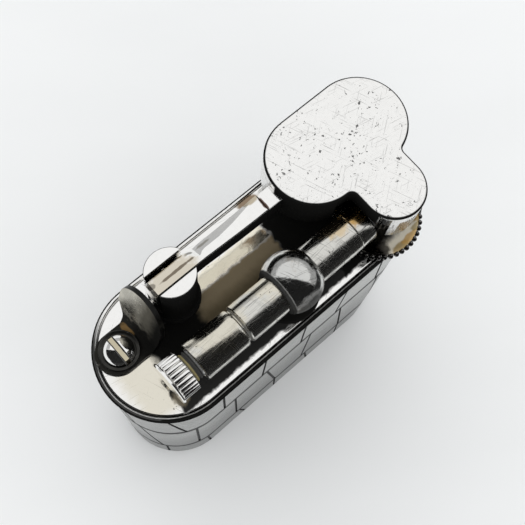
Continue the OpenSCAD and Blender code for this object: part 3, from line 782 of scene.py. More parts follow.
# Black of the painted shade on the plate, ball, spring, tube and the parts' sides, and of a few
# dark lines.
SHADE_AND_DIRT_BLACK = (0.007, 0.007, 0.0065)
PALE_BAND = (0.85, 0.8, 0.67)
PLATE_STAINS_AND_SHADE = (
    # Painted shade of the flint screw's head, dark brown on the plate beside it.
    ((-14.4, -4.6, 0), 1.1, (0.2, 0.17, 0.12), 0.8),
    ((3.2, 5.9, 0), 1.6, BROWN, 0.9),
)
PLATE_PATCHES = (
    (-18.0, -13.2, -5.2, 1.0, 0.9, BEIGE, 0.8),
    (-7.6, 2.6, 2.05, 3.6, 0.18, PALE_BAND, 0.95),
    (-8.6, 2.9, -3.5, 2.0, 0.22, BRONZE, 0.98),
    (-8.0, 3.0, -3.5, 0.2, 0.9, SHADED_BRONZE, 0.95),
    # Painted shade, in black: round the hinge post, under the cap right of the arm, and along the
    # near edge below the flint tube.
    (-14.0, -7.8, -2.6, 2.3, 0.5, SHADE_AND_DIRT_BLACK, 1.0),
    (-12.6, -7.6, 1.9, 4.6, 0.3, SHADE_AND_DIRT_BLACK, 1.0),
    (2.7, 19.0, -3.4, 4.4, 0.3, SHADE_AND_DIRT_BLACK, 1.0),
    (-15.0, 6.6, -6.05, -3.4, 0.16, SHADE_AND_DIRT_BLACK, 0.98),
    (5.6, 19.0, -6.05, -3.0, 0.16, SHADE_AND_DIRT_BLACK, 1.0),
)
ARM_STAINS = (
    ((2.3, 3.2, 7.2), 0.55, (0.07, 0.03, 0.015), 0.95, (2.2, 0.5, 1)),
    ((-6.0, 4.05, 7.0), 0.5, (0.1, 0.09, 0.07), 0.8, (0.6, 2.2, 1)),
    ((-4.6, 4.0, 7.0), 0.6, (0.4, 0.38, 0.33), 0.8, (0.5, 2.5, 1)),
    ((1.6, 4.25, 7.0), 0.7, (0.36, 0.27, 0.13), 0.7, (0.6, 1.4, 1)),
    ((-8.6, 3.0, 7.3), 2.6, (0.62, 0.56, 0.45), 0.85, (0.8, 1, 1)),
    ((-10.6, 3.7, 7.2), 0.5, (0.2, 0.18, 0.15), 0.8, (1, 1.5, 1)),
    ((-7.9, 3.45, 7.2), 0.5, (0.12, 0.09, 0.06), 0.85, (0.22, 2.6, 1)),
)
TUBE_STAINS = (
    ((8.6, -2.6, 6.0), 1.7, GOLDEN, 0.95),
    ((6.4, -1.9, 5.4), 2.2, (0.66, 0.5, 0.28), 0.7),
    ((-8.5, -1.9, 5.4), 4.0, BEIGE, 0.7),
    ((-1.8, -1.8, 5.2), 3.0, BEIGE, 0.7),
)
TUBE_BANDS = (
    (7.5, 0.05, SHADE_AND_DIRT_BLACK, 0.9),
    (-6.4, 0.1, SHADE_AND_DIRT_BLACK, 0.7),
    # Painted shade on the nose's end, before the gap to the wheels.
    (9.75, 0.4, SHADE_AND_DIRT_BLACK, 0.9),
)
BALL_STAINS = (
    ((0.2, -1.1, 3.5), 1.6, (0.1, 0.1, 0.095), 0.8),
    ((3.3, -2.6, 3.5), 1.5, SHADE_AND_DIRT_BLACK, 0.9, (1, 0.5, 0.5)),
)
BALL_BANDS = (
    (BALL_X - BALL_FLAT, 0.28, SHADE_AND_DIRT_BLACK, 0.95),
    (BALL_X + 2.7, 0.3, SHADE_AND_DIRT_BLACK, 0.9),
)
BALL_PATCHES = (
    # Painted shade blackens the ball's near and far sides.
    (BALL_X - 4, BALL_X + 4, -EVERYWHERE, TUBE.y - 2.5, 0.3, SHADE_AND_DIRT_BLACK, 0.9),
    (BALL_X - 4, BALL_X + 4, TUBE.y + 2.75, EVERYWHERE, 0.2, SHADE_AND_DIRT_BLACK, 0.9),
)
NECK_BANDS = (
    # Painted shade in the gap between the flint screw's head and the tube, with a narrow painted
    # olive highlight.
    (-12.2, 0.44, SHADE_AND_DIRT_BLACK, 0.94),
    (-12.45, 0.12, (0.5, 0.42, 0.18), 0.5),
)
SLOT_BANDS = (
    (-16.0, 0.26, (0.5, 0.44, 0.3), 0.9),
    # Painted shade along the slot's two walls.
    (-16.28, 0.06, SHADE_AND_DIRT_BLACK, 0.95),
    (-15.72, 0.06, SHADE_AND_DIRT_BLACK, 0.95),
)
WHEEL_PATCHES = (
    (9.9, 16.5, -8.6, -6.1, 0.5, (0.75, 0.7, 0.58), 0.95, "matt"),
    (11.2, 15.0, -8.6, -7.3, 0.5, (0.5, 0.38, 0.16), 0.35, "matt"),
)
WHEEL_STAINS = (
    ((11.5, -7.55, 1.1), 0.9, (0.3, 0.2, 0.06), 0.8, (0.6, 1.4, 1)),
    ((13.1, -7.35, 1.1), 0.95, GOLDEN, 0.8, (0.6, 1.8, 1)),
    ((14.4, -6.9, 1.1), 0.7, (0.26, 0.19, 0.06), 0.75, (0.7, 1.5, 1)),
    ((15.2, -5.6, 1.1), 1.6, (0.3, 0.2, 0.07), 0.9),
    ((9.4, -6.2, 1.1), 1.6, (0.04, 0.035, 0.03), 0.9),
)
SPRING_SHADE_AND_HIGHLIGHT = (
    # Painted shade blackens the strap.
    ((-15.6, 2.2, 0.3), 5.4, SHADE_AND_DIRT_BLACK, 0.97, (1, 1, 1.6)),
    # A painted brown highlight along the strap's far edge.
    ((-14.25, 3.4, 0.6), 0.8, (0.24, 0.15, 0.06), 0.8, (1.6, 0.6, 1)),
)
SPRING_PATCHES = (
    # Painted shade darkens the strap up to its bend.
    (-14.6, -11, -3, 3.4, 0.9, (0.06, 0.056, 0.045), 0.95),
    (-14.4, -11, -3, 1.6, 0.8, SHADE_AND_DIRT_BLACK, 0.98),
)

FINISHES = {  # What makes each, and its settings in order, such as roughness, wear and tarnish
    "plate": (polished, "plate_silver", 0.1, 0.45, 0.18, 1, 0.35),
    "cap": (polished, "cap_silver", 0.2, 0.6, 0.02, 21, 0.12),
    "post": (polished, "post_silver", 0.1, 0.15, 0.1, 33, 0.2),
    "arm": (polished, "arm_silver", 0.13, 0.25, 0.12, 41, 0.3),
    "tube": (polished, "tube_silver", 0.16, 0.75, 0.15, 57, 0.25, (0.66, 0.65, 0.61), LENGTHWISE),
    "ball": (polished, "ball_silver", 0.12, 0.7, 0.3, 63, 0.9, (0.62, 0.62, 0.6)),
    "knurl": (polished, "knurl_silver", 0.12, 0.1, 0.15, 71, 0.1),
    "screw": (polished, "screw_silver", 0.08, 0.3, 0.15, 77, 0.3),
    "gilt_disc": (polished, "wheel_disc", 0.16, 0.3, 0.4, 83, 0.3, (0.3, 0.29, 0.27)),
    "brass": (polished, "brass", 0.2, 0.3, 0.35, 91, 0.2, (0.68, 0.5, 0.24)),
    "dish": (dark_metal, "dish_black", (0.04, 0.039, 0.036), 0.2, 5),
    "spring": (dark_metal, "spring_steel", (0.42, 0.4, 0.34), 0.14, 9),
    "spring_edge": (dark_metal, "spring_edge", (0.02, 0.02, 0.019), 0.3, 29),
    "bead_steel": (dark_metal, "bead_steel", (0.13, 0.125, 0.12), 0.12, 15),
    "tool_steel": (dark_metal, "tool_steel", (0.2, 0.195, 0.19), 0.25, 19),
    "steel": (dark_metal, "bright_steel", (0.42, 0.41, 0.39), 0.18, 23),
    "wick": (fibre, "wick_cotton", (0.62, 0.56, 0.45), (0.12, 0.1, 0.08), (1, 1, 0.15)),
    "wadding": (fibre, "wadding_cotton", (0.8, 0.77, 0.7), (0.6, 0.56, 0.48)),
    "leather": (fibre, "seal_leather", (0.2, 0.13, 0.08), (0.06, 0.04, 0.03)),
    "wall": (satin_wall,),
    "bead": (rim_metal,),
    "flint": (flint_alloy,),
}
DIRT_AND_SHADE = {  # What lies on a finish
    "plate": {"stains": PLATE_STAINS_AND_SHADE, "patches": PLATE_PATCHES},
    "cap": {"patina": CAP_PAINTED_SHADE, "specks": 1.85},
    "post": {"patina": POST_PAINTED_SHADE},
    "arm": {"stains": ARM_STAINS, "patina": ARM_PAINTED_SHADE},
    "tube": {"stains": TUBE_STAINS, "bands": TUBE_BANDS},
    "ball": {
        "stains": BALL_STAINS, "patina": BALL_PAINTED_SHADE, "bands": BALL_BANDS, "patches": BALL_PATCHES
    },
    "knurl": {"bands": NECK_BANDS},
    "screw": {"bands": SLOT_BANDS},
    "gilt_disc": {"stains": WHEEL_STAINS, "patches": WHEEL_PATCHES},
    "spring": {"stains": SPRING_SHADE_AND_HIGHLIGHT, "patches": SPRING_PATCHES},
}


def keep(node, finish):
    """A CAD node that stays, in its finish."""
    shown = frame["nodes"][node]
    shown.data.materials.clear()
    shown.data.materials.append(material(finish))


def refined(node, finish, bevel, name=None):
    """A merged copy of a CAD node with fine bevels."""
    bm = copied(node)
    bevelled(bm, corners(bm), bevel, 1)
    piece(name or f"{node}_finished", bm, node, finish)


# Tank


def build_tank():
    piece("tank_wall", copied("case_shell"), "case_shell", "wall")
    refined("base_plate", "wall", 0.05, "tank_floor")
    build_rim()
    build_plate()
    keep("wadding", "wadding")


def tank_run():
    """Length of the tank's straight part."""
    low, high = box_mm("case_shell")
    return (high.x - low.x) - (high.y - low.y)


def build_rim():
    """Round bead on its neck, let in between the wall and the plate."""
    low, high = box_mm("rim_bead")
    radius = 0.3
    track = high.y - radius
    neck = radius * 0.8
    foot = low.z - DECK
    profile = [(track - neck, foot)]
    profile += arc((track, high.z - DECK - radius), radius, 216, -36, 20)
    profile += [(track + neck, foot)]
    piece("rim", swept(profile, tank_run()), "rim_bead", "bead")


def build_plate():
    """Polished plate with a rounded edge."""
    radius = box_mm("top_plate")[1].y
    rounding = sizes().plate_round / MM
    foot = box_mm("rim_bead")[0].z - DECK
    profile = [(0, 0), (radius - rounding - 0.06, 0)]
    profile += arc((radius - rounding, -rounding), rounding, 90, 0, 10)
    profile += [(radius, foot), (0, foot)]
    piece("deck_plate", swept(profile, tank_run(), closed=False), "top_plate", "plate")


# Hinge


def build_hinge():
    """Round post on a foot, with two grooves and a slot for the arm."""
    low, high = box_mm("hinge_post")
    top = high.z - DECK
    foot = (high.x - low.x) / 2
    pin_low, pin_high = box_mm("hinge_pin")
    radius = math.hypot((pin_high.y - pin_low.y) / 2 + 0.02, (pin_high.z - pin_low.z) / 2)
    edge = 0.12
    profile = [(0, 0), (foot, 0)]
    profile += arc((foot - 0.15, 0.55), 0.15, 0, 90, 4)
    profile += arc((radius + edge, 0.82), edge, 270, 180, 4)
    for groove in (top - 1.5, top - 1.0):
        profile += arc((radius, groove), edge, 270, 90, 6)
    profile += arc((radius - edge, top - edge), edge, 0, 90, 4)
    profile += [(0, top)]
    bm = slotted(lambda: turned(profile), (0, 1, 0), half=1.125, floor=2.3)
    piece("hinge_post_finished", bm, "hinge_post", "post", (POST.x, POST.y))
    refined("hinge_pin", "steel", 0.06)


# Arm and cap


def arm_section(x, near, ridge, far, drop, top, under):
    """One section of the arm: a flat top, a chamfer down to the far side, and rounded edges."""
    soft = 0.12
    return [
        (x, near, under + soft),
        (x, near, top - soft),
        (x, near + soft, top),
        (x, ridge, top),
        (x, far, top - drop),
        (x, far, under + soft),
        (x, far - soft, under),
        (x, near + soft, under),
    ]


# Along X, where the ridge lies from the arm's middle line; the curl has a dip
ARM_RIDGE = ((-6.75, 0.71), (-6.35, 0.62), (-6.05, 0.32), (-5.8, -0.02), (-5.6, -0.24))
ARM_RIDGE += ((-5.4, -0.3, 0.02), (-5.2, -0.22), (-5.0, -0.08), (-4.6, 0.0), (-3.0, 0.02))
ARM_RIDGE += ((-1.1, 0.24), (0.8, 0.58), (1.6, 0.78), (2.2, 0.82))


def build_arm():
    """Bar that widens towards the cap, with a chamfer that starts in a curl and runs out."""
    low, high = box_mm("snuffer_arm")
    top = high.z - DECK
    under = top - 2.5
    width = 0.86
    end = (high.y - low.y) / 2
    y = POST.y

    def section(x, ridge, dip=0, drop=None):
        share = min(1, max(0, (x - POST.x - 3.4) / 5.2))
        half = width + (end - width) * share
        middle = y + (end - width) * (1 - share)
        if drop is None:
            drop = 0.1 + 0.72 * (half - ridge - 0.1)
        sides = (middle - half, middle + ridge, middle + half)
        return arm_section(x, *sides, drop, top - dip, under)

    bm = bmesh.new()
    rings = []
    for row in ((low.x, width - 0.3, 0.1, 0.14), (low.x + 0.35, width - 0.15), *ARM_RIDGE):
        rings.append(only(bmesh.types.BMEdge, polyline(bm, section(*row), True)))
    for first, second in zip(rings, rings[1:]):
        bmesh.ops.bridge_loops(bm, edges=first + second)
    bmesh.ops.recalc_face_normals(fill(bm), faces=bm.faces)
    rounded = [(1.6, -width), (1.7, 0.1 - width), (1.7, width - 0.1), (1.6, width)]
    hub = quarter_turned(turned([(0, -width), *rounded, (0, width)]), "Y")
    moved(quarter_turned(hub, "Z"), (PIN.x, y + end - width, PIN.z))
    corner = (high.x, y + end - 0.06, top - 0.05)
    lug = rounded_block((2.24, y - end, under + 0.15), corner, 0.08)
    piece("arm", gathered([bm, hub, lug]), "snuffer_arm", "arm", flat_above=8)


def cap_outline():
    """Three lobes with soft corners between them, anticlockwise."""
    low, high = box_mm("snuffer_cap")
    first = Vector((low.x + LOBE, high.y - LOBE))
    second = Vector((high.x - LOBE, high.y - LOBE))
    third = Vector((TAIL_X, low.y + TAIL))
    soft = 0.6

    def corner(lobe, side):
        """The soft corner between a large lobe and one side of the small one."""
        x = third.x + side * (TAIL + soft)
        y = lobe.y - math.sqrt((LOBE + soft) ** 2 - (x - lobe.x) ** 2)
        return (x, y), math.degrees(math.atan2(y - lobe.y, x - lobe.x))

    centre, lean = corner(second, 1)
    points = arc(third, TAIL, 180, 360, 48)
    points += arc(centre, soft, 180, 180 + lean, 10)
    points += arc(second, LOBE, lean, 90, 40)
    centre, lean = corner(first, -1)
    points += arc(first, LOBE, 90, 360 + lean, 44)
    points += arc(centre, soft, 180 + lean, 0, 10)
    return points


def build_cap():
    """Shallow cap pressed from sheet, open below, with a notch for the flint tube."""
    low, high = box_mm("snuffer_cap")
    bottom = low.z - DECK
    rise = (0, 0, high.z - DECK - bottom)
    bm = bmesh.new()
    verts = only(bmesh.types.BMVert, polyline(bm, [(x, y, bottom) for x, y in cap_outline()], True))
    bmesh.ops.remove_doubles(bm, verts=verts, dist=1e-3)
    ring = bmesh.ops.holes_fill(bm, edges=list(bm.edges), sides=0)["faces"]
    raised = bmesh.ops.extrude_face_region(bm, geom=ring)["geom"]
    bmesh.ops.translate(bm, vec=rise, verts=only(bmesh.types.BMVert, raised))
    roof = only(bmesh.types.BMFace, raised)[0]
    for face in list(bm.faces):
        if face is not roof and len(face.verts) > 4:
            bmesh.ops.delete(bm, geom=[face], context="FACES_ONLY")
    bmesh.ops.recalc_face_normals(bm, faces=bm.faces)
    if roof.normal.z < 0:
        bmesh.ops.reverse_faces(bm, faces=list(bm.faces))
    bevelled(bm, list(roof.edges), sizes().cap_edge / MM, 3)
    notch(bm)
    cap = piece("cap", bm, "snuffer_cap", "cap")
    thickened(cap, "wall", sizes().skirt, -1)
    refined("cap_seal", "leather", 0.08)


def thickened(sheet, name, thickness, offset):
    wall = sheet.modifiers.new(name, "SOLIDIFY")
    wall.thickness = thickness
    wall.offset = offset
    wall.use_even_offset = True
    return wall


def notch(bm):
    """Cuts the opening that the flint tube passes through out of the skirt."""
    clear = TUBE_HIGH.z - DECK - TUBE.z + 0.3
    roof = TUBE.z + clear
    near = TUBE.y - clear
    far = TUBE.y + clear
    right = TAIL_X - TAIL / 2

    def walls():
        """The skirt's faces on the tube's side, each with its middle."""
        for face in bm.faces:
            middle = face.calc_center_median()
            if middle.x < right and abs(face.normal.z) < 0.01:
                yield face, middle

    for point, direction in (
        ((0, near, 0), (0, 1, 0)),
        ((0, far, 0), (0, 1, 0)),
        ((0, 0, roof), (0, 0, 1)),
    ):
        geom = {part for face, _ in walls() for part in (face, *face.edges, *face.verts)}
        split(bm, point, direction, list(geom))
    gone = [face for face, middle in walls() if near < middle.y < far and middle.z < roof]
    bmesh.ops.delete(bm, geom=gone, context="FACES")


# Heel spring and its screw


def build_spring():
    """Leaf cut from strip: a round-ended strap, a bend and an upright tongue."""
    low, high = box_mm("heel_spring")
    thick = sizes().leaf / MM
    y = middle_mm("spring_screw").y
    strap = 2.1
    tip = (high.y - low.y) / 2
    shift = (high.y + low.y) / 2 - y
    start = low.x + strap
    bend = POST.x - 5.7
    inner = 0.9
    middle = inner + thick / 2
    turn = math.radians(75)
    along = bend + middle * turn
    rise = high.z - DECK - thick - inner + math.cos(turn) * inner
    end = along + rise / math.sin(turn) - tip
    flare = along + 1.7
    sweep = shift + tip - strap
    blank = arc((start, 0), strap, 90, 270, 28)
    blank += [(bend, -strap), (flare, shift - tip)]
    blank += arc((end, shift), tip, -90, 90, 36)
    for step in range(12):
        share = math.sin(math.radians(90 * step / 12))
        blank.append((flare - (flare - bend) * share, strap + sweep * (1 - share) ** 1.3))
    blank.append((bend, strap))
    bm = bmesh.new()
    polyline(bm, [(px, py, 0) for px, py in blank], True)
    bmesh.ops.holes_fill(bm, edges=list(bm.edges), sides=0)
    for step in range(15):
        split(bm, (bend + (along - bend) * step / 14, 0, 0), (1, 0, 0))
    for vert in bm.verts:
        vert.co = bent(vert.co, bend, along, middle, turn, thick / 2)
    bmesh.ops.recalc_face_normals(bm, faces=bm.faces)
    moved(bm, (0, y, 0))
    leaf = piece("heel_spring_finished", bm, "heel_spring", "spring", flat_above=40)
    leaf.data.materials.append(material("spring_edge"))
    thickened(leaf, "leaf", sizes().leaf, 0).material_offset_rim = 1
    soften = leaf.modifiers.new("edges", "BEVEL")
    soften.width = 0.09 * MM
    soften.segments = 2
    soften.limit_method = "ANGLE"
    soften.angle_limit = math.radians(50)


def bent(point, bend, along, radius, turn, lift):
    """Where a point of the flat blank goes when the leaf is bent up."""
    if point.x <= bend:
        return Vector((point.x, point.y, lift))
    angle = min(point.x - bend, along - bend) / radius
    beyond = max(point.x - along, 0)
    x = bend + radius * math.sin(angle) + beyond * math.cos(turn)
    z = lift + radius * (1 - math.cos(angle)) + beyond * math.sin(turn)
    return Vector((x, point.y, z))


def build_spring_screw():
    """Domed screw with a driver slot, in a dished washer."""
    low, high = box_mm("spring_screw")
    at = ((low.x + high.x) / 2, (low.y + high.y) / 2)
    radius = (high.x - low.x) / 2
    top = high.z - DECK
    seat = 0.85
    tall = top - seat
    ball = (radius * radius + tall * tall) / (2 * tall)
    sweep = math.degrees(math.asin(radius / ball))
    dome = arc((0, top - ball), ball, 90 - sweep, 90, 14)
    profile = [(0, seat - 0.3), (radius - 0.1, seat - 0.3), (radius, seat)] + dome[1:]
    bm = slotted(lambda: turned(profile), (1, 0, 0), half=0.3, floor=top - 0.62)
    piece("spring_screw_finished", bm, "spring_screw", "screw", at)
    low, high = box_mm("dished_washer")
    reach = (high.x - low.x) / 2
    foot = low.z - DECK
    rim = high.z - DECK
    hole = 0.85
    lip = 0.09
    ring = [(hole, foot), (reach - 0.35, foot), (reach - 0.05, rim - 0.12)]
    ring += arc((reach - lip, rim - lip), lip, -30, 120, 6)
    ring += [(radius + 0.02, rim - 0.12), (hole, rim - 0.1)]
    piece("dish", turned(ring, closed=True), "dished_washer", "dish", at)


# Flint tube, its ball pillar and its screw


def build_ball():
    """Pillar with a ball that carries the flint tube; its spring-end side is flat."""
    low, high = box_mm("ball_pillar")
    foot = 3.15
    waist = 2.1
    root = 1.2  # The flat starts at this height
    start = -math.degrees(math.acos(waist / BALL))
    profile = [(0, 0), (foot, 0), (foot, 0.3)]
    profile += arc((foot - 0.15, 0.3), 0.15, 0, 90, 4)
    profile += [(waist + 0.1, 0.45), (waist, 0.55)]
    profile += arc((0, high.z - DECK - BALL), BALL, start, 90, 56)
    bm = turned(profile)
    flat = min(BALL_X - low.x, BALL_FLAT)
    split(bm, (0, 0, root), (0, 0, 1))
    for vert in bm.verts:
        if vert.co.z > root and vert.co.x < -flat:
            vert.co.x = -flat
    bored(bm)
    bmesh.ops.recalc_face_normals(bm, faces=bm.faces)
    piece("ball", bm, "ball_pillar", "ball", (BALL_X, TUBE.y), flat_above=24)


def bored(bm):
    """Bores the ball where the flint tube passes through it, just inside the tube's skin."""
    reach = 0.88 * (TUBE_HIGH.z - DECK - TUBE.z)
    angles = [math.radians(45 * side) for side in range(8)]
    directions = [Vector((0, math.cos(angle), math.sin(angle))) for angle in angles]
    axis = Vector((0, 0, TUBE.z))
    for direction in directions:
        split(bm, axis + direction * reach, direction)
    inside = []
    for face in bm.faces:
        off = face.calc_center_median() - axis
        if max(off.dot(direction) for direction in directions) < reach:
            inside.append(face)
    bmesh.ops.delete(bm, geom=inside, context="FACES")
    bmesh.ops.bridge_loops(bm, edges=[edge for edge in bm.edges if edge.is_boundary])


def build_tube():
    """Turned tube with a groove, a fine line before its nose, and an open bore."""
    radius = TUBE_HIGH.z - DECK - TUBE.z
    start = TUBE_LOW.x
    nose = TUBE_HIGH.x
    depth = start + 3.8
    bore = 1.3
    neck = 1.55
    groove = ((0, -0.5), (0, -0.34), (0.05, -0.22), (0.27, -0.06))
    groove += ((0.28, 0.08), (0.12, 0.2), (0, 0.3))
    outline = [(neck, start + 0.06), (neck + 0.06, start)]
    for place, steps in (
        (start, ((0.12, 0), (0.03, 0.04), (0, 0.12))),
        (start + 5.2, groove),
        (nose - 1.8, ((0, -0.08), (0.1, -0.02), (0.1, 0.03), (0.01, 0.1))),
        (nose, ((0.01, -0.16), (0.05, -0.05), (0.16, 0))),
    ):
        outline += [(radius - inset, place + along) for inset, along in steps]
    outline += [(bore + 0.06, nose), (bore, nose - 0.06), (bore, depth), (neck, depth)]
    bm = in_tube_line(turned(outline, closed=True))
    piece("tube", bm, "flint_tube", "tube", flat_above=24)


def build_flint_screw():
    """Ridged head with a thin flange and a threaded neck."""
    low, high = box_mm("flint_screw")
    flange = (high.z - low.z) / 2
    outer = low.x
    head = outer + 0.3
    inner = TUBE_LOW.x - 1.0
    count = sizes().ridges
    radius = 2.11
    ridge = math.pi * radius / count
    root = radius - ridge * 1.15
    body = [(0, outer), (flange - 0.1, outer), (flange, outer + 0.08), (flange, head - 0.08)]
    body += [(flange - 0.08, head), (root, head), (root, inner), (1.5, inner + 0.02)]
    pitch = 0.4
    valley, crest = 1.34, 1.5
    for turn in range(int((high.x - inner) / pitch)):
        steps = ((valley, 0.08), (crest, 0.22), (crest, 0.3), (valley, 0.42))
        body += [(out, inner + turn * pitch + along) for out, along in steps]
    body += [(1.3, high.x), (0, high.x)]
    parts = [turned(body)]
    thick = {"radius1": ridge * 0.9, "radius2": ridge * 0.9}
    for _, place in around(radius - ridge, count, (inner + head) / 2):
        rod = bmesh.new()
        bmesh.ops.create_cone(rod, segments=12, depth=inner - head, cap_ends=True, **thick)
        bevelled(rod, corners(rod), 0.1)
        parts.append(moved(rod, place))
    piece("flint_screw_finished", in_tube_line(gathered(parts)), "flint_screw", "knurl")


def build_flint_train():
    """The flint spring as a finished copy with a mesh of its own, and the pusher and the flint in
    their finishes.
    """
    spring = piece("flint_spring_finished", copied("flint_spring"), "flint_spring", "steel")
    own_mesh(spring)
    keep("flint_pusher", "brass")
    keep("flint", "flint")


# Wheels


def build_wheels():
    low, high = box_mm("thumb_wheel")
    bottom = 0.45
    top = 1.15
    ring = 4.37
    step = ring - 0.14
    bead = (high.y - low.y) / 2 - ring
    bore = 0.74
    hub = 1.3
    profile = [(bore, bottom), (ring - 0.3, bottom), (step, bottom + 0.12), (step, top - 0.08)]
    for out, down in ((ring - 0.26, 0), (ring - 0.46, 0), (ring - 0.66, 0.1), (ring - 1.2, 0.22)):
        profile.append((out, top - down))
    profile += [(hub + 0.5, top - 0.26), (hub + 0.1, top - 0.16), (hub, top), (hub, 2.58)]
    profile.append((bore, 2.58))
    at = (WHEEL.x, WHEEL.y)
    piece("thumb_disc", turned(profile, closed=True), "thumb_wheel", "gilt_disc", at)
    bm = bmesh.new()
    for angle, place in around(ring, sizes().beads, (bottom + top) / 2):
        lean = Matrix.Rotation(angle, 4, "Z") @ Matrix.Diagonal((1, 0.93, 1.12, 1))
        put = Matrix.Translation(place) @ lean
        bmesh.ops.create_uvsphere(bm, u_segments=16, v_segments=10, radius=bead, matrix=put)
    piece("thumb_beads", bm, "thumb_wheel", "bead_steel", at)
    refined("spark_wheel", "tool_steel", 0.03)
    build_axle(at)
    refined("axle_washer", "steel", 0.04)


def build_axle(at):
    """Shouldered axle screw with a slotted head."""
    low, high = box_mm("wheel_axle")
    top = high.z - DECK
    bottom = low.z - DECK
    head = 1.3
    shank = 0.7
    under = top - 0.6
    profile = [(0, bottom), (shank - 0.1, bottom), (shank, bottom + 0.1), (shank, under)]
    profile += [(head - 0.05, under), (head, under + 0.05)]
    profile += arc((head - 0.15, top - 0.15), 0.15, 0, 90, 4) + [(0, top)]
    bm = slotted(lambda: turned(profile, steps=48), (1, 0, 0), half=0.3, floor=top - 0.3)
    piece("axle", bm, "wheel_axle", "steel", at)


# Burner


def build_burner():
    refined("windscreen", "steel", 0.03)
    refined("wick_tube", "brass", 0.05)
    refined("wick_nut", "brass", 0.08)
    low, high = box_mm("wick")
    foot = low.z - DECK
    top = high.z - DECK
    body = [(0, foot), (0.95, foot), (0.95, top - 0.9), (0.7, top - 0.75), (0, top - 0.7)]
    parts = [turned(body)]
    chance = random.Random(4)
    for ring, count in ((0, 1), (0.36, 6), (0.72, 12)):
        for index in range(count):
            angle = 2 * math.pi * (index + 0.5 * chance.random()) / count
            tall = 1.5 - 0.35 * chance.random()
            shape = {"segments": 8, "radius1": 0.19, "radius2": 0.11, "cap_ends": True}
            strand = bmesh.new()
            bmesh.ops.create_cone(strand, depth=tall, **shape)
            across = Vector((-math.sin(angle), math.cos(angle), 0))
            lean = Matrix.Rotation(0.12 * ring, 3, across)
            bmesh.ops.rotate(strand, cent=(0, 0, -tall / 2), matrix=lean, verts=strand.verts)
            place = (ring * math.cos(angle), ring * math.sin(angle), top - 1.55 + tall / 2)
            parts.append(moved(strand, place))
    piece("wick_finished", gathered(parts), "wick", "wick", (WICK.x, WICK.y))


# Filler


def build_filler():
    refined("filler_bush", "brass", 0.05)
    refined("filler_washer", "leather", 0.03)
    refined("filler_screw", "brass", 0.05)


# Stage


def mirrored_only(name, bm, tone):
    """Makes a mesh, in millimetres, a board that only polished metal mirrors."""
    bmesh.ops.scale(bm, vec=(MM, MM, MM), verts=bm.verts)
    board = placed_mesh(name, bm)
    board.data.materials.append(Paint(name).finish((tone,) * 3, 0.9, 0, specular=0))
    board.visible_camera = False
    board.visible_diffuse = False
    board.visible_shadow = False
    board.visible_transmission = False
    board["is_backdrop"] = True


def build_surroundings():
    """What the metal mirrors besides the sky: a dark side, a pale far wall and a dark mat."""
    heading = math.radians(DARK_SIDE)
    away = Vector((math.cos(heading), math.sin(heading), 0))
    bm = bmesh.new()
    bmesh.ops.create_uvsphere(bm, u_segments=48, v_segments=24, radius=3000)
    split(bm, (0, 0, 0), Vector((0, 0, DARK_EDGE)) - away, clear=True)
    split(bm, (0, 0, 0), (0, 0, -1), clear=True)
    mirrored_only("dark_side", bm, 0.02)
    bm = bmesh.new()
    bmesh.ops.create_circle(bm, segments=64, radius=2900, cap_ends=True)
    split(moved(bm, (0, 0, 0.8)), (0, -MAT_EDGE, 0), (0, 1, 0), clear=True)
    mirrored_only("dark_mat", bm, 0.03)
    bm = bmesh.new()
    bmesh.ops.create_cone(bm, segments=64, radius1=2800, radius2=2800, depth=1500)
    split(moved(bm, (0, 0, 750)), (0, 0, 0), away, clear=True)
    mirrored_only("far_wall", bm, 0.5)


def build_stage():
    bm = bmesh.new()
    bmesh.ops.create_grid(bm, x_segments=1, y_segments=1, size=2)
    floor = placed_mesh("floor", bm)
    paint = Paint("pale_floor")
    soft = paint.noise(0.012, 3, stretch=(1, 3, 1), turn=35)
    pale = tuple(colours().floor)
    tone = paint.mix(paint.step(soft, 0.35, 0.7) * 0.5, pale, shaded(pale, 0.93))
    floor.data.materials.append(paint.finish(tone, 0.6, 0, specular=0))
    floor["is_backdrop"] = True
    build_surroundings()
    world = bpy.data.worlds.new("studio")
    bpy.context.scene.world = world
    paint = Paint("studio", world)
    sky = paint.node("ShaderNodeBackground", {}, {"Color": (0.99, 0.995, 1, 1), "Strength": 0.99})
    paint.node("ShaderNodeOutputWorld", {}, {"Surface": sky})
    lamp = bpy.data.lights.new("softbox", "AREA")
    lamp.shape = "RECTANGLE"
    lamp.size = 0.6
    lamp.size_y = 0.6
    lamp.energy = 0.5
    softbox = placed("softbox", lamp)
    softbox.location = (0.3, 0.35, 0.7)
    softbox.rotation_mode = "QUATERNION"
    softbox.rotation_quaternion = softbox.location.to_track_quat("Z", "Y")
    softbox.visible_glossy = False
    build_camera()
    bpy.context.scene.view_settings.view_transform = "Standard"


def build_camera():
    """The camera, as solved from the tank's outline in the photograph."""
    ahead = Vector(CAMERA_AHEAD).normalized()
    up = Vector(CAMERA_RIGHT).normalized().cross(ahead).normalized()
    right = ahead.cross(up)
    data = bpy.data.cameras.new("camera")
    data.lens = CAMERA_LENS
    data.sensor_width = 36
    data.clip_start = 0.001
    data.clip_end = 10
    camera = placed("camera", data)
    camera.rotation_mode = "QUATERNION"
    camera.rotation_quaternion = Matrix((right, up, -ahead)).transposed().to_quaternion()
    camera.location = Vector(CAMERA_PLACE) * MM
    bpy.context.scene.camera = camera


# Operators, panel and registration


class Step:
    """What the operators share: each runs its builders in turn."""

    builders = ()

    def execute(self, context):
        for build in self.builders:
            build()
        return {"FINISHED"}


class LIGHTER_OT_tank(Step, bpy.types.Operator):
    """Finish the tank's wall, floor, rim and polished deck plate"""

    bl_idname = "lighter.tank"
    bl_label = "Tank"
    builders = (build_tank,)


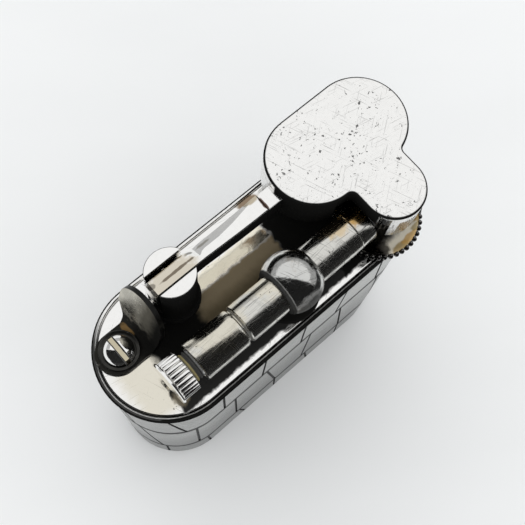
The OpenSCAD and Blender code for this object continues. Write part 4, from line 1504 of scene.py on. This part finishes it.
class LIGHTER_OT_hinge(Step, bpy.types.Operator):
    """Build the slotted hinge post and its pin"""

    bl_idname = "lighter.hinge"
    bl_label = "Hinge post"
    builders = (build_hinge,)


class LIGHTER_OT_arm(Step, bpy.types.Operator):
    """Build the lifting arm"""

    bl_idname = "lighter.arm"
    bl_label = "Arm"
    builders = (build_arm,)


class LIGHTER_OT_cap(Step, bpy.types.Operator):
    """Build the three-lobed snuffer cap and its seal"""

    bl_idname = "lighter.cap"
    bl_label = "Snuffer cap"
    builders = (build_cap,)


class LIGHTER_OT_spring(Step, bpy.types.Operator):
    """Build the heel spring, its domed screw and the dished washer"""

    bl_idname = "lighter.spring"
    bl_label = "Heel spring"
    builders = (build_spring, build_spring_screw)


class LIGHTER_OT_flint(Step, bpy.types.Operator):
    """Build the ball pillar, the flint tube, its screw and what it holds"""

    bl_idname = "lighter.flint"
    bl_label = "Flint tube"
    builders = (build_ball, build_tube, build_flint_screw, build_flint_train)


class LIGHTER_OT_wheels(Step, bpy.types.Operator):
    """Build the thumb wheel, the spark wheel and their axle"""

    bl_idname = "lighter.wheels"
    bl_label = "Wheels"
    builders = (build_wheels,)


class LIGHTER_OT_burner(Step, bpy.types.Operator):
    """Build the windscreen, the wick and its tube"""

    bl_idname = "lighter.burner"
    bl_label = "Burner"
    builders = (build_burner,)


class LIGHTER_OT_filler(Step, bpy.types.Operator):
    """Finish the filler screw under the tank"""

    bl_idname = "lighter.filler"
    bl_label = "Filler"
    builders = (build_filler,)


class LIGHTER_OT_stage(Step, bpy.types.Operator):
    """Build the floor, the light and the camera"""

    bl_idname = "lighter.stage"
    bl_label = "Stage"
    builders = (build_stage,)


STEPS = (
    LIGHTER_OT_tank,
    LIGHTER_OT_hinge,
    LIGHTER_OT_arm,
    LIGHTER_OT_cap,
    LIGHTER_OT_spring,
    LIGHTER_OT_flint,
    LIGHTER_OT_wheels,
    LIGHTER_OT_burner,
    LIGHTER_OT_filler,
    LIGHTER_OT_stage,
)


class LIGHTER_PT_steps(bpy.types.Panel):
    """Lists the building steps"""

    bl_label = "Lift-arm lighter"
    bl_idname = "LIGHTER_PT_steps"
    bl_space_type = "VIEW_3D"
    bl_region_type = "UI"
    bl_category = "Lighter"

    def draw(self, context):
        for step in STEPS:
            self.layout.operator(step.bl_idname)
        for group in (context.scene.lighter_sizes, context.scene.lighter_colours):
            for name in group.bl_rna.properties.keys():
                if name not in ("rna_type", "name"):
                    self.layout.prop(group, name)


CLASSES = (LighterSizes, LighterColours, *STEPS, LIGHTER_PT_steps)


def register():
    for cls in CLASSES:
        bpy.utils.register_class(cls)
    bpy.types.Scene.lighter_sizes = bpy.props.PointerProperty(type=LighterSizes)
    bpy.types.Scene.lighter_colours = bpy.props.PointerProperty(type=LighterColours)


def unregister():
    del bpy.types.Scene.lighter_sizes
    del bpy.types.Scene.lighter_colours
    for cls in reversed(CLASSES):
        bpy.utils.unregister_class(cls)


def main():
    register()
    for step in STEPS:
        group, name = step.bl_idname.split(".")
        getattr(getattr(bpy.ops, group), name)()
    boxes = {"cad": CAD_BOX, "visual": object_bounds()}
    plain = {name: [list(corner) for corner in box] for name, box in boxes.items()}


if __name__ == "__main__":
    main()
